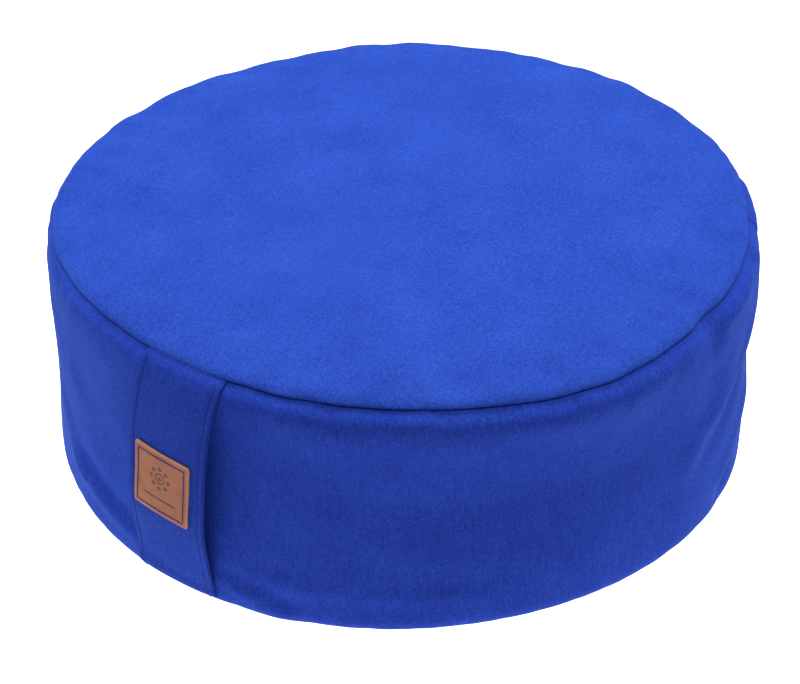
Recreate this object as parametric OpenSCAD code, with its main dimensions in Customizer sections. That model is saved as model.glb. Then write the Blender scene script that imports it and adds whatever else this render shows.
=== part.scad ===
// Round floor cushion: a sewn cover with a strap handle and a zipped side,
// over an inner bag of grain hulls that has a zip of its own.
// The cushion stands on z = 0, the handle faces -Y and the cover's zip faces +Y.

/* [Cushion] */
// Widest diameter of the cover
cushion_d = 400; // [320:1:480]
// Height of the top seam above the floor
top_seam_z = 149.6; // [110:0.2:185]
// Height of the bottom seam above the floor
bottom_seam_z = 9; // [7:0.5:14]
// How far the wall bulges past the seams
side_bulge = 3; // [2:0.5:7]
// Rise of the top panel above its seam
top_rise = 8; // [5:0.5:14]
// Width of the rim that curves up from the flat bottom to the seam
bottom_turn = 14; // [10:1:24]

/* [Cloth] */
// Thickness of the cover's twill
cover_t = 0.8; // [0.6:0.1:1]
// Thickness of the inner bag's cotton
bag_t = 0.5; // [0.4:0.1:0.7]
// Width of the seam allowances and hems
allowance = 10; // [7:0.5:12]
// Clearance between layers that lie on each other
layer_gap = 0.1; // [0.05:0.05:0.2]
// Thickness of the sewing thread
thread_d = 0.4; // [0.3:0.1:0.6]

/* [Handle] */
// Width of the strap
handle_w = 57; // [40:1:80]
// Thickness of the folded strap
handle_t = 1.8; // [1.4:0.1:2.4]
// How far the middle of the strap stands out from the seams
handle_bow = 12; // [10:0.5:24]
// Distance of the topstitching from the strap's edges
topstitch_inset = 4; // [3:0.5:6]

/* [Patch] */
// Side of the square leather patch
patch_w = 40; // [25:1:46]
// Thickness of the leather
patch_t = 1.5; // [1:0.1:2]
// Radius of the patch's corners
patch_corner = 3; // [1:0.5:6]
// Height of the patch's middle above the floor
patch_z = 80; // [60:0.5:95]
// Distance of the patch's stitching from its edge
patch_stitch_inset = 3; // [2:0.5:5]

/* [Zips] */
// Arc of the wall that the cover's zip takes, in degrees
cover_zip_arc = 110; // [90:1:150]
// Arc of the inner bag that its zip takes, in degrees
bag_zip_arc = 60; // [40:1:90]
// Width of each tape
tape_w = 12; // [9:0.5:14]
// Thickness of the tapes
tape_t = 0.6; // [0.4:0.1:0.8]
// Width of each row of coil
coil_w = 2; // [1.6:0.1:2.6]
// Height of the coil above its tape
coil_h = 1.5; // [1.2:0.1:2]
// Half of the gap that the slider's neck runs in
neck_gap = 0.65; // [0.5:0.05:0.8]
// Length of the slider along the zip
slider_l = 12; // [10:0.5:14]
// Thickness of the slider's outer plate
outer_plate_t = 1.1; // [0.8:0.1:1.4]
// Thickness of the slider's inner plate
inner_plate_t = 1; // [0.8:0.1:1.2]
// Height of the bridge that holds the pull
bridge_h = 2.6; // [2.4:0.1:3.2]
// Width of the bridge
bridge_w = 2; // [1.6:0.1:2.4]
// Length of the pull
pull_l = 28; // [20:1:34]
// Width of the pull
pull_w = 5.6; // [5:0.1:7]
// Thickness of the pull
pull_t = 1; // [0.8:0.1:1.2]
// Running clearance round the slider and its pull
slide_gap = 0.25; // [0.2:0.05:0.35]
// Length of each end stop along the zip
stop_l = 2.5; // [2:0.1:4]

/* [Hidden] */

$fn = 96;
wall_steps = 14;              // straight steps up the wall
strap_steps = 24;             // straight steps up the strap
dome_steps = 16;              // straight steps in the top panel's section
turn_steps = 6;               // straight steps in the bottom's curved rim
wall_power = 3;               // how squarely the wall bulges
strap_power = 2.5;            // how squarely the strap stands out
dome_power = 5;               // how squarely the top panel domes
fit_gap = 0.3;                // clearance between pieces that aren't sewn flat together
handle_dir = -90;             // direction that the handle and the bag's zip face
zip_dir = 90;                 // direction that the middle of the cover's zip faces
far = 500;                    // reaches past the whole cushion

wall_h = top_seam_z - bottom_seam_z;
wall_mid_r = cushion_d / 2;
seam_r = wall_mid_r - side_bulge;
flat_r = seam_r - bottom_turn;
mid_z = (top_seam_z + bottom_seam_z) / 2;

// Depths below the wall's outer face
hem_depth = 2 * cover_t;
under_hem = hem_depth + layer_gap;
under_strap_end = under_hem + handle_t + layer_gap;
deepest_seam = under_strap_end + cover_t + layer_gap + thread_d;
bag_inset = deepest_seam + fit_gap;
bag_under_hem = 2 * bag_t + layer_gap;

// Zip stack, measured outwards from the tape's outer face
coil_lift = layer_gap / 2;
plate_lift = coil_lift + coil_h + slide_gap;
plate_top = plate_lift + outer_plate_t;
tape_back = tape_t + slide_gap;
bridge_bar_t = 0.9;
bridge_leg = 1;
bridge_l = slider_l - 4;
pull_bar_r = 0.55;
pull_axis_lift = plate_top + slide_gap + pull_bar_r;
guide_in = neck_gap + coil_w + slide_gap;  // inner face of the slider's side guides
guide_t = 1.1;
slider_half_w = guide_in + guide_t;
zip_window = slider_half_w + 2 * fit_gap;  // half of the opening between the folded edges
bare_tape = 2;                             // tape past each stop
topstitch_to_fold = 3;                     // from the folded edges to their topstitching
cross_stitch_to_seam = 1.5;

cover_tape_r = wall_mid_r - under_hem;
bag_tape_r = wall_mid_r - bag_inset - bag_under_hem;
fill_inset = wall_mid_r - bag_tape_r + tape_back + inner_plate_t + fit_gap;

bag_drop = cover_t + fit_gap;
fill_drop = bag_drop + bag_t + fit_gap;
strap_sweep = arc_deg(handle_w + 8, seam_r);   // holds the strap before its edges are cut
joint_sweep = arc_deg(layer_gap, wall_mid_r);
hem_sweep = arc_deg(allowance, wall_mid_r);
slider_rest = arc_deg(bare_tape + stop_l + slider_l / 2 + fit_gap, wall_mid_r);

function arc_deg(length, r) = length / r * 180 / PI;
function wall_share(z) = min(1, max(0, (z - bottom_seam_z) / wall_h));
function bulged(z, power) = 1 - pow(abs(2 * wall_share(z) - 1), power);
wall_table = [for (i = [0 : wall_steps]) let (z = bottom_seam_z + wall_h * i / wall_steps)
    [z, seam_r + side_bulge * bulged(z, wall_power)]];
function wall_r(z) = lookup(z, wall_table);
function strap_r(z) = seam_r + fit_gap + handle_bow * bulged(z, strap_power);
function dome_z(r) = top_seam_z + top_rise * (1 - pow(min(1, r / seam_r), dome_power));
function turn_z(r) = bottom_seam_z * pow(max(0, (r - flat_r) / bottom_turn), 2);
function reversed(points) = [for (i = [len(points) - 1 : -1 : 0]) points[i]];

// Heights of the wall's lower and upper edge, in a layer set in from the cover
function wall_low(inset, drop, t) = turn_z(seam_r - inset) + drop + t + layer_gap;
function wall_high(inset, drop, t) = dome_z(seam_r - inset) - drop - t - layer_gap;
cover_low = wall_low(0, 0, cover_t);
cover_high = wall_high(0, 0, cover_t);
bag_low = wall_low(bag_inset, bag_drop, bag_t);
bag_high = wall_high(bag_inset, bag_drop, bag_t);

// Points up the wall, at a depth below its outer face
function wall_line(z0, z1, depth) = concat(
    [[wall_r(z0) - depth, z0]],
    [for (row = wall_table) if (row[0] > z0 + layer_gap && row[0] < z1 - layer_gap)
        [row[1] - depth, row[0]]],
    [[wall_r(z1) - depth, z1]]);

// Points up the strap, at a height above its inner face
function strap_line(z0, z1, lift) =
    [for (i = [0 : strap_steps]) let (z = z0 + (z1 - z0) * i / strap_steps) [strap_r(z) + lift, z]];

// Points from the axis outwards, along the domed top and along the bottom
function dome_line(r_end, drop) =
    [for (i = [0 : dome_steps]) let (r = r_end * sin(90 * i / dome_steps)) [r, dome_z(r) - drop]];
function bottom_line(r_end, lift) = concat([[0, lift]],
    [for (i = [0 : turn_steps]) let (r = flat_r + (r_end - flat_r) * i / turn_steps)
        [r, turn_z(r) + lift]]);

// Section of one layer that follows the wall
function layer_section(z0, z1, depth, t) =
    concat(wall_line(z0, z1, depth), reversed(wall_line(z0, z1, depth + t)));

// Section of a wall piece that is doubled by a hem along its lower and upper edge
function hemmed_section(z0, z1, depth, t) = concat(
    wall_line(z0, z1, depth),
    reversed(wall_line(z1 - allowance, z1, depth + 2 * t)),
    reversed(wall_line(z0 + allowance, z1 - allowance, depth + t)),
    reversed(wall_line(z0, z0 + allowance, depth + 2 * t)));

// Turns a section about the cushion's axis, centred on a direction
module swept(direction, sweep) {
    rotate([0, 0, direction - sweep / 2])
        rotate_extrude(angle = sweep)
            children();
}

// Keeps what lies within a width of a line across the front
module cut_to_width(offset_x, w) {
    intersection() {
        children();
        rotate([0, 0, handle_dir + 90])
            translate([offset_x - w / 2, -far, -far])
                cube([w, far, 2 * far]);
    }
}

module rounded_square(w, r) {
    square([w, w - 2 * r], center = true);
    square([w - 2 * r, w], center = true);
    for (x = [-1, 1], y = [-1, 1])
        translate([x, y] * (w / 2 - r))
            circle(r);
}

// A piece of the wall with a hem along all four edges. The end hems lie between the long ones.
module hemmed_wall(z0, z1, direction, sweep, depth, t) {
    swept(direction, sweep)
        polygon(hemmed_section(z0, z1, depth, t));
    for (side = [-1, 1])
        swept(direction + side * ((sweep - hem_sweep) / 2 - joint_sweep), hem_sweep)
            polygon(layer_section(z0 + allowance / 2, z1 - allowance / 2,
                depth + t / 2, 1.5 * t - layer_gap / 2));
}

// The seam allowance of a round panel, turned in along the wall
module top_allowance(direction, sweep, inset, drop, t, depth) {
    root = dome_z(seam_r - inset - depth) - drop - t / 2;
    swept(direction, sweep)
        polygon(layer_section(wall_high(inset, drop, t) - allowance, root, inset + depth, t));
}

module bottom_allowance(direction, sweep, inset, drop, t, depth) {
    root = turn_z(seam_r - inset - depth) + drop + t / 2;
    swept(direction, sweep)
        polygon(layer_section(root, wall_low(inset, drop, t) + allowance, inset + depth, t));
}

module top_panel(inset, drop, t) {
    rotate_extrude()
        polygon(concat(dome_line(seam_r - inset, drop), reversed(dome_line(seam_r - inset, drop + t))));
}

module bottom_panel(inset, drop, t) {
    rotate_extrude()
        polygon(concat(bottom_line(seam_r - inset, drop), reversed(bottom_line(seam_r - inset, drop + t))));
}

// A line of seam thread on the inner face of an allowance
module seam_thread(direction, sweep, z, depth) {
    swept(direction, sweep)
        translate([wall_r(z) - depth - (layer_gap + thread_d) / 2, z])
            circle(d = thread_d, $fn = 16);
}

// A sewn layer on the strap, between two heights
module on_strap(z0, z1, lift, t) {
    swept(handle_dir, strap_sweep)
        polygon(concat(strap_line(z0, z1, lift), reversed(strap_line(z0, z1, lift + t))));
}

// ---- Cover ----

module cover_top_panel() {
    color("royalblue") {
        top_panel(0, 0, cover_t);
        top_allowance(handle_dir + 180, 360 - strap_sweep, 0, 0, cover_t, under_hem);
        top_allowance(handle_dir, strap_sweep, 0, 0, cover_t, under_strap_end);
    }
}

module cover_bottom_panel() {
    color("royalblue") {
        bottom_panel(0, 0, cover_t);
        bottom_allowance(handle_dir + 180, 360 - strap_sweep, 0, 0, cover_t, under_hem);
        bottom_allowance(handle_dir, strap_sweep, 0, 0, cover_t, under_strap_end);
    }
}

// The wall's long piece, notched where the handle's ends go into the seams
module cover_side_band() {
    notch_h = handle_t + layer_gap;
    color("mediumblue")
        difference() {
            hemmed_wall(cover_low, cover_high, handle_dir, 360 - cover_zip_arc - joint_sweep, 0, cover_t);
            for (z = [cover_low - far, cover_high - notch_h])
                cut_to_width(0, handle_w + 2 * fit_gap)
                    translate([-far, -far, z])
                        cube([2 * far, far, far + (z < 0 ? notch_h : 0)]);
        }
}

module zip_upper_strip() {
    color("mediumblue")
        hemmed_wall(mid_z + zip_window, cover_high, zip_dir, cover_zip_arc - joint_sweep, 0, cover_t);
}

module zip_lower_strip() {
    color("mediumblue")
        hemmed_wall(cover_low, mid_z - zip_window, zip_dir, cover_zip_arc - joint_sweep, 0, cover_t);
}

// The folded strap, with both ends turned in through the seams
module handle_strap() {
    inside = under_hem + handle_t;
    color("mediumblue")
        cut_to_width(0, handle_w)
            swept(handle_dir, strap_sweep)
                polygon(concat(
                    strap_line(cover_low, cover_high, handle_t),
                    reversed(wall_line(cover_high - allowance, cover_high, inside)),
                    wall_line(cover_high - allowance, cover_high - handle_t, under_hem),
                    reversed(strap_line(cover_low + handle_t, cover_high - handle_t, 0)),
                    wall_line(cover_low + handle_t, cover_low + allowance, under_hem),
                    reversed(wall_line(cover_low, cover_low + allowance, inside))));
}

module handle_topstitch() {
    end_gap = 4;
    row_x = handle_w / 2 - topstitch_inset;
    color("navy")
        for (x = [-row_x, row_x])
            cut_to_width(x, thread_d)
                on_strap(cover_low + end_gap, cover_high - end_gap, handle_t + layer_gap / 2, thread_d);
}

// A square outline on the strap, cut from a layer that follows it
module patch_outline() {
    rotate([90, 0, handle_dir + 90])
        translate([0, patch_z, 0])
            linear_extrude(far)
                children();
}

module leather_patch() {
    reach = patch_w / 2 + patch_t;   // past the outline that cuts it
    color("peru")
        intersection() {
            on_strap(patch_z - reach, patch_z + reach, handle_t + layer_gap, patch_t);
            patch_outline()
                rounded_square(patch_w, patch_corner);
        }
}

module patch_stitching() {
    reach = patch_w / 2;
    ring_w = patch_w - 2 * patch_stitch_inset;
    color("navy")
        intersection() {
            on_strap(patch_z - reach, patch_z + reach, handle_t + patch_t + 1.5 * layer_gap, thread_d);
            patch_outline()
                difference() {
                    rounded_square(ring_w + thread_d, patch_corner);
                    rounded_square(ring_w - thread_d, patch_corner - thread_d);
                }
        }
}

module cover_seam_thread(z) {
    seam_thread(handle_dir + 180, 360 - strap_sweep, z, under_hem + cover_t);
    seam_thread(handle_dir, strap_sweep, z, under_strap_end + cover_t);
}

module cover_top_seam_thread() {
    color("navy") cover_seam_thread(cover_high - thread_d);
}

module cover_bottom_seam_thread() {
    color("navy") cover_seam_thread(cover_low + thread_d);
}

// Upright rows on the long piece's end hems, just outside the zip's strips
module cover_cross_seam_thread() {
    offset_deg = cover_zip_arc / 2 + arc_deg(cross_stitch_to_seam, wall_mid_r);
    clear_of_allowance = allowance + 1;
    color("navy")
        for (side = [-1, 1])
            swept(zip_dir + side * offset_deg, arc_deg(thread_d, wall_mid_r))
                polygon(layer_section(cover_low + clear_of_allowance, cover_high - clear_of_allowance,
                    hem_depth + layer_gap / 2, thread_d));
}

// ---- Zips: each is built about a tape radius, a direction and an arc ----

module zip_tape(tape_r, direction, arc, side) {
    swept(direction, arc)
        translate([tape_r - tape_t, mid_z + (side > 0 ? neck_gap : -neck_gap - tape_w)])
            square([tape_t, tape_w]);
}

module zip_coil(tape_r, direction, arc, side) {
    swept(direction, arc - 2 * arc_deg(bare_tape + stop_l + layer_gap, wall_mid_r))
        translate([tape_r + coil_lift, mid_z + (side > 0 ? neck_gap : -neck_gap - coil_w)])
            square([coil_h, coil_w]);
}

// Stops at one end of a zip: one on each tape, or one across both
module end_stop(tape_r, direction, arc, end, across) {
    offset_deg = arc / 2 - arc_deg(bare_tape + stop_l / 2, wall_mid_r);
    low = neck_gap + coil_w;
    swept(direction + end * offset_deg, arc_deg(stop_l, wall_mid_r))
        translate([tape_r + coil_lift, mid_z]) {
            if (across)
                translate([0, -low])
                    square([coil_h, 2 * low]);
            else
                for (z = [-low, neck_gap])
                    translate([0, z])
                        square([coil_h, coil_w]);
        }
}

// Two rows that hold a zip's tapes under the folded edges of the cloth
module tape_stitching(cloth_r, direction, arc) {
    for (side = [-1, 1])
        swept(direction, arc - 2 * arc_deg(allowance, wall_mid_r))
            translate([cloth_r + layer_gap / 2 + thread_d / 2,
                mid_z + side * (zip_window + topstitch_to_fold)])
                circle(d = thread_d, $fn = 16);
}

// A slider, with x outwards from the tape's outer face, y along the zip and z up
module slider_body() {
    neck_l = 2.5;
    guide_l = slider_l - 3;
    corner = 2;
    plate_w = 2 * slider_half_w;
    module plate(x, t) {
        translate([x, 0, 0])
            rotate([0, 90, 0])
                linear_extrude(t) {
                    square([plate_w, slider_l - 2 * corner], center = true);
                    square([plate_w - 2 * corner, slider_l], center = true);
                    for (a = [-1, 1], b = [-1, 1])
                        translate([a * (plate_w / 2 - corner), b * (slider_l / 2 - corner)])
                            circle(corner);
                }
    }
    plate(plate_lift, outer_plate_t);
    plate(-tape_back - inner_plate_t, inner_plate_t);
    neck_w = 2 * (neck_gap - slide_gap);
    translate([-tape_back - inner_plate_t / 2, -slider_l / 2 + corner, -neck_w / 2])
        cube([tape_back + plate_lift + inner_plate_t / 2 + outer_plate_t / 2, neck_l, neck_w]);
    for (z = [-slider_half_w, guide_in])
        translate([slide_gap, -guide_l / 2, z])
            cube([plate_lift - slide_gap + outer_plate_t / 2, guide_l, guide_t]);
}

// The arch on a slider's outer plate that holds the pull's end bar
module bridge() {
    round_r = 1.2;
    h = bridge_h + outer_plate_t / 2;
    slot_h = bridge_h - bridge_bar_t + outer_plate_t / 2;
    translate([plate_top - outer_plate_t / 2, 0, -bridge_w / 2])
        linear_extrude(bridge_w)
            difference() {
                union() {
                    translate([0, -bridge_l / 2])
                        square([h - round_r, bridge_l]);
                    translate([0, -bridge_l / 2 + round_r])
                        square([h, bridge_l - 2 * round_r]);
                    for (side = [-1, 1])
                        translate([h - round_r, side * (bridge_l / 2 - round_r)])
                            circle(round_r, $fn = 32);
                }
                translate([-1, -bridge_l / 2 + bridge_leg])
                    square([slot_h + 1, bridge_l - 2 * bridge_leg]);
            }
}

// A pull lying back along the zip, with its end bar on the axis
module pull() {
    tip_hole_r = 1.3;
    hole_end = norm([bridge_l / 2, bridge_h]) + slide_gap;
    arm_gap = bridge_w + 2 * slide_gap;
    tip_r = pull_w / 2;
    bar_overlap = 0.8 * pull_bar_r;   // how far the hole's edge stays inside the round bar
    translate([0, 0, -pull_w / 2])
        cylinder(r = pull_bar_r, h = pull_w, $fn = 32);
    translate([-pull_t / 2, 0, 0])
        rotate([0, 90, 0])
            linear_extrude(pull_t)
                difference() {
                    union() {
                        translate([-pull_w / 2, -pull_l + tip_r])
                            square([pull_w, pull_l - tip_r]);
                        translate([0, -pull_l + tip_r])
                            circle(tip_r);
                    }
                    translate([-arm_gap / 2, -hole_end])
                        square([arm_gap, hole_end - bar_overlap]);
                    translate([0, -pull_l + tip_r])
                        circle(tip_hole_r);
                }
}

// Places a slider's own axes at the closed end of its zip
module at_closed_end(tape_r, direction, arc) {
    rotate([0, 0, direction + arc / 2 - slider_rest])
        translate([tape_r, 0, mid_z])
            children();
}

module zip_upper_tape() {
    color("midnightblue") zip_tape(cover_tape_r, zip_dir, cover_zip_arc, 1);
}

module zip_lower_tape() {
    color("midnightblue") zip_tape(cover_tape_r, zip_dir, cover_zip_arc, -1);
}

module zip_upper_coil() {
    color("slateblue") zip_coil(cover_tape_r, zip_dir, cover_zip_arc, 1);
}

module zip_lower_coil() {
    color("slateblue") zip_coil(cover_tape_r, zip_dir, cover_zip_arc, -1);
}

module zip_topstitch() {
    color("navy") tape_stitching(wall_mid_r, zip_dir, cover_zip_arc);
}

module zip_top_stops() {
    color("silver") end_stop(cover_tape_r, zip_dir, cover_zip_arc, 1, false);
}

module zip_bottom_stop() {
    color("silver") end_stop(cover_tape_r, zip_dir, cover_zip_arc, -1, true);
}

module zip_slider() {
    color("silver")
        at_closed_end(cover_tape_r, zip_dir, cover_zip_arc) {
            slider_body();
            bridge();
        }
}

module zip_pull() {
    color("gainsboro")
        at_closed_end(cover_tape_r, zip_dir, cover_zip_arc)
            translate([pull_axis_lift, 0, 0])
                pull();
}

// ---- Inner bag ----

module bag_top_panel() {
    color("linen") {
        top_panel(bag_inset, bag_drop, bag_t);
        top_allowance(0, 360, bag_inset, bag_drop, bag_t, bag_under_hem);
    }
}

module bag_bottom_panel() {
    color("linen") {
        bottom_panel(bag_inset, bag_drop, bag_t);
        bottom_allowance(0, 360, bag_inset, bag_drop, bag_t, bag_under_hem);
    }
}

// One wall piece, open between two folded edges where its zip goes
module bag_side_band() {
    color("antiquewhite")
        difference() {
            union() {
                rotate_extrude()
                    polygon(hemmed_section(bag_low, bag_high, bag_inset, bag_t));
                swept(handle_dir, bag_zip_arc + 2 * hem_sweep)
                    polygon(layer_section(mid_z - zip_window - allowance, mid_z + zip_window + allowance,
                        bag_inset + bag_t / 2, 1.5 * bag_t));
            }
            swept(handle_dir, bag_zip_arc)
                translate([wall_mid_r - bag_inset - 2 * side_bulge, mid_z - zip_window])
                    square([4 * side_bulge, 2 * zip_window]);
        }
}

module bag_top_seam_thread() {
    color("white") seam_thread(0, 360, bag_high - thread_d, bag_inset + bag_under_hem + bag_t);
}

module bag_bottom_seam_thread() {
    color("white") seam_thread(0, 360, bag_low + thread_d, bag_inset + bag_under_hem + bag_t);
}

module bag_zip_tapes() {
    color("white")
        for (side = [-1, 1])
            zip_tape(bag_tape_r, handle_dir, bag_zip_arc, side);
}

module bag_zip_coils() {
    color("whitesmoke")
        for (side = [-1, 1])
            zip_coil(bag_tape_r, handle_dir, bag_zip_arc, side);
}

module bag_zip_topstitch() {
    color("white") tape_stitching(wall_mid_r - bag_inset, handle_dir, bag_zip_arc);
}

module bag_zip_stops() {
    color("silver") {
        end_stop(bag_tape_r, handle_dir, bag_zip_arc, 1, false);
        end_stop(bag_tape_r, handle_dir, bag_zip_arc, -1, true);
    }
}

// Made without a pull, so that a child can't open the bag of hulls
module bag_zip_slider() {
    color("silver")
        at_closed_end(bag_tape_r, handle_dir, bag_zip_arc)
            slider_body();
}

module hull_fill() {
    edge_turn = 1;                     // the fill's edges are cut off by this much
    z0 = turn_z(seam_r - fill_inset) + fill_drop + edge_turn;
    z1 = dome_z(seam_r - fill_inset) - fill_drop - edge_turn;
    color("saddlebrown")
        rotate_extrude()
            polygon(concat(
                bottom_line(seam_r - fill_inset, fill_drop),
                wall_line(z0, z1, fill_inset),
                reversed(dome_line(seam_r - fill_inset, fill_drop))));
}

cover_top_panel();
cover_bottom_panel();
cover_side_band();
zip_upper_strip();
zip_lower_strip();
handle_strap();
handle_topstitch();
leather_patch();
patch_stitching();
cover_top_seam_thread();
cover_bottom_seam_thread();
cover_cross_seam_thread();
zip_upper_tape();
zip_lower_tape();
zip_upper_coil();
zip_lower_coil();
zip_topstitch();
zip_top_stops();
zip_bottom_stop();
zip_slider();
zip_pull();
bag_top_panel();
bag_bottom_panel();
bag_side_band();
bag_top_seam_thread();
bag_bottom_seam_thread();
bag_zip_tapes();
bag_zip_coils();
bag_zip_topstitch();
bag_zip_stops();
bag_zip_slider();
hull_fill();
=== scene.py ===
import math
import bpy
import bmesh
import numpy as np
from mathutils import Matrix, Vector


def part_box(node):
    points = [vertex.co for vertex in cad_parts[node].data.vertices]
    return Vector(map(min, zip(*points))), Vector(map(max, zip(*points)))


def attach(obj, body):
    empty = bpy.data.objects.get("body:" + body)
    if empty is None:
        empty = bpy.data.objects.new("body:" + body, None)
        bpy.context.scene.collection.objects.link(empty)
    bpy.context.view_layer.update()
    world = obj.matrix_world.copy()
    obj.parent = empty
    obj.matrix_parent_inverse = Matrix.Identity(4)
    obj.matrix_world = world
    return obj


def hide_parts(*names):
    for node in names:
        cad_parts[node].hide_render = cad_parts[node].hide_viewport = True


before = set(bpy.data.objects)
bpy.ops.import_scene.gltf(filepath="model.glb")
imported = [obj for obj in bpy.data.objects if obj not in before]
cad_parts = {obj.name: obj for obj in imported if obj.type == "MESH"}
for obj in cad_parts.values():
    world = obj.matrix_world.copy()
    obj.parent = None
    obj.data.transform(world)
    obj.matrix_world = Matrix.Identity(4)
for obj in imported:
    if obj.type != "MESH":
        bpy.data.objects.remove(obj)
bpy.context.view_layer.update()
print("frame loaded,", len(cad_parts), "nodes")

mm = 0.001
scene = bpy.context.scene

# where the camera stands, in degrees round from the handle and above the floor
camera = {
    "aroundFromHandle": 37.0,
    "elevation": 33.96,
    "distance": 1.5,
    "lens": 115.2,
    "aimHeight": 0.0588,
}
handleAngle = math.radians(-90)
# direction from the cushion to the camera
viewAngle = handleAngle + math.radians(camera["aroundFromHandle"])
towardsCamera = Vector((math.cos(viewAngle), math.sin(viewAngle), 0))

# camera, floor and light


def addObject(name, data):
    made = bpy.data.objects.new(name, data)
    scene.collection.objects.link(made)
    return made


def lookingAt(place, target):
    # the matrix of an eye or a lamp that faces its target
    aim = target - place
    return Matrix.Translation(place) @ aim.to_track_quat("-Z", "Y").to_matrix().to_4x4()


def makeCamera(settings):
    level = math.cos(math.radians(settings["elevation"])) * settings["distance"]
    height = math.sin(math.radians(settings["elevation"])) * settings["distance"]
    aim = Vector((0, 0, settings["aimHeight"]))
    data = bpy.data.cameras.new("studioCamera")
    data.lens = settings["lens"]
    data.sensor_width = 36
    data.clip_start = 0.05
    eye = addObject("studioCamera", data)
    eye.matrix_world = lookingAt(aim + towardsCamera * level + Vector((0, 0, height)), aim)
    scene.camera = eye


studio = {
    "floorSize": 60.0,
    "worldStrength": 0.07,
    "overheadPower": 39.0,
    "overheadSize": 1.5,
    "overheadHeight": 1.7,
    "overheadBack": 0.2,
    "sidePower": 13.0,
    "sideSize": 1.4,
    "sideOut": 1.5,
    "sideBack": 0.5,
    "sideHeight": 0.9,
    "lampsAimAt": 0.1,
    # the floor glows, most of all round the cushion: painted light that fills the cushion's contact shadow
    # and lights its lower wall from below
    "floorPale": 0.35,
    "nearGlow": 1.65,
    "farGlow": 0.92,
    "nearRadius": 0.25,
    "farRadius": 0.36,
}


def areaLight(name, place, target, size, power):
    data = bpy.data.lights.new(name, "AREA")
    data.shape = "DISK"
    data.size = size
    data.energy = power
    addObject(name, data).matrix_world = lookingAt(place, target)


def makeStudio(settings):
    half = settings["floorSize"] / 2
    mesh = bpy.data.meshes.new("studioFloor")
    corners = [(-half, -half, 0), (half, -half, 0), (half, half, 0), (-half, half, 0)]
    mesh.from_pydata(corners, [], [(0, 1, 2, 3)])
    floor = addObject("studioFloor", mesh)
    mesh.materials.append(glowingFloorPaper("glowingFloorPaper", settings))
    world = bpy.data.worlds.new("studioWorld")
    world.use_nodes = True
    sky = world.node_tree.nodes["Background"].inputs
    sky["Color"].default_value = (1, 1, 1, 1)
    sky["Strength"].default_value = settings["worldStrength"]
    scene.world = world
    sideways = Vector((-towardsCamera.y, towardsCamera.x, 0))
    target = Vector((0, 0, settings["lampsAimAt"]))
    high = Vector((0, 0, settings["overheadHeight"]))
    areaLight("overheadSoftbox", high - towardsCamera * settings["overheadBack"], target,
              settings["overheadSize"], settings["overheadPower"])
    for name, way in (("leftSoftbox", -1), ("rightSoftbox", 1)):
        place = sideways * way * settings["sideOut"] - towardsCamera * settings["sideBack"]
        areaLight(name, place + Vector((0, 0, settings["sideHeight"])), target,
                  settings["sideSize"], settings["sidePower"])
    scene.view_settings.view_transform = "Standard"


# shader helpers


class Wire:
    # a node's output; arithmetic on it adds Math nodes
    def __init__(self, paint, socket):
        self.paint = paint
        self.socket = socket

    def __add__(self, other):
        return self.paint.maths("ADD", self, other)

    def __radd__(self, other):
        return self.paint.maths("ADD", other, self)

    def __sub__(self, other):
        return self.paint.maths("SUBTRACT", self, other)

    def __rsub__(self, other):
        return self.paint.maths("SUBTRACT", other, self)

    def __mul__(self, other):
        return self.paint.maths("MULTIPLY", self, other)

    def __rmul__(self, other):
        return self.paint.maths("MULTIPLY", other, self)


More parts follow.
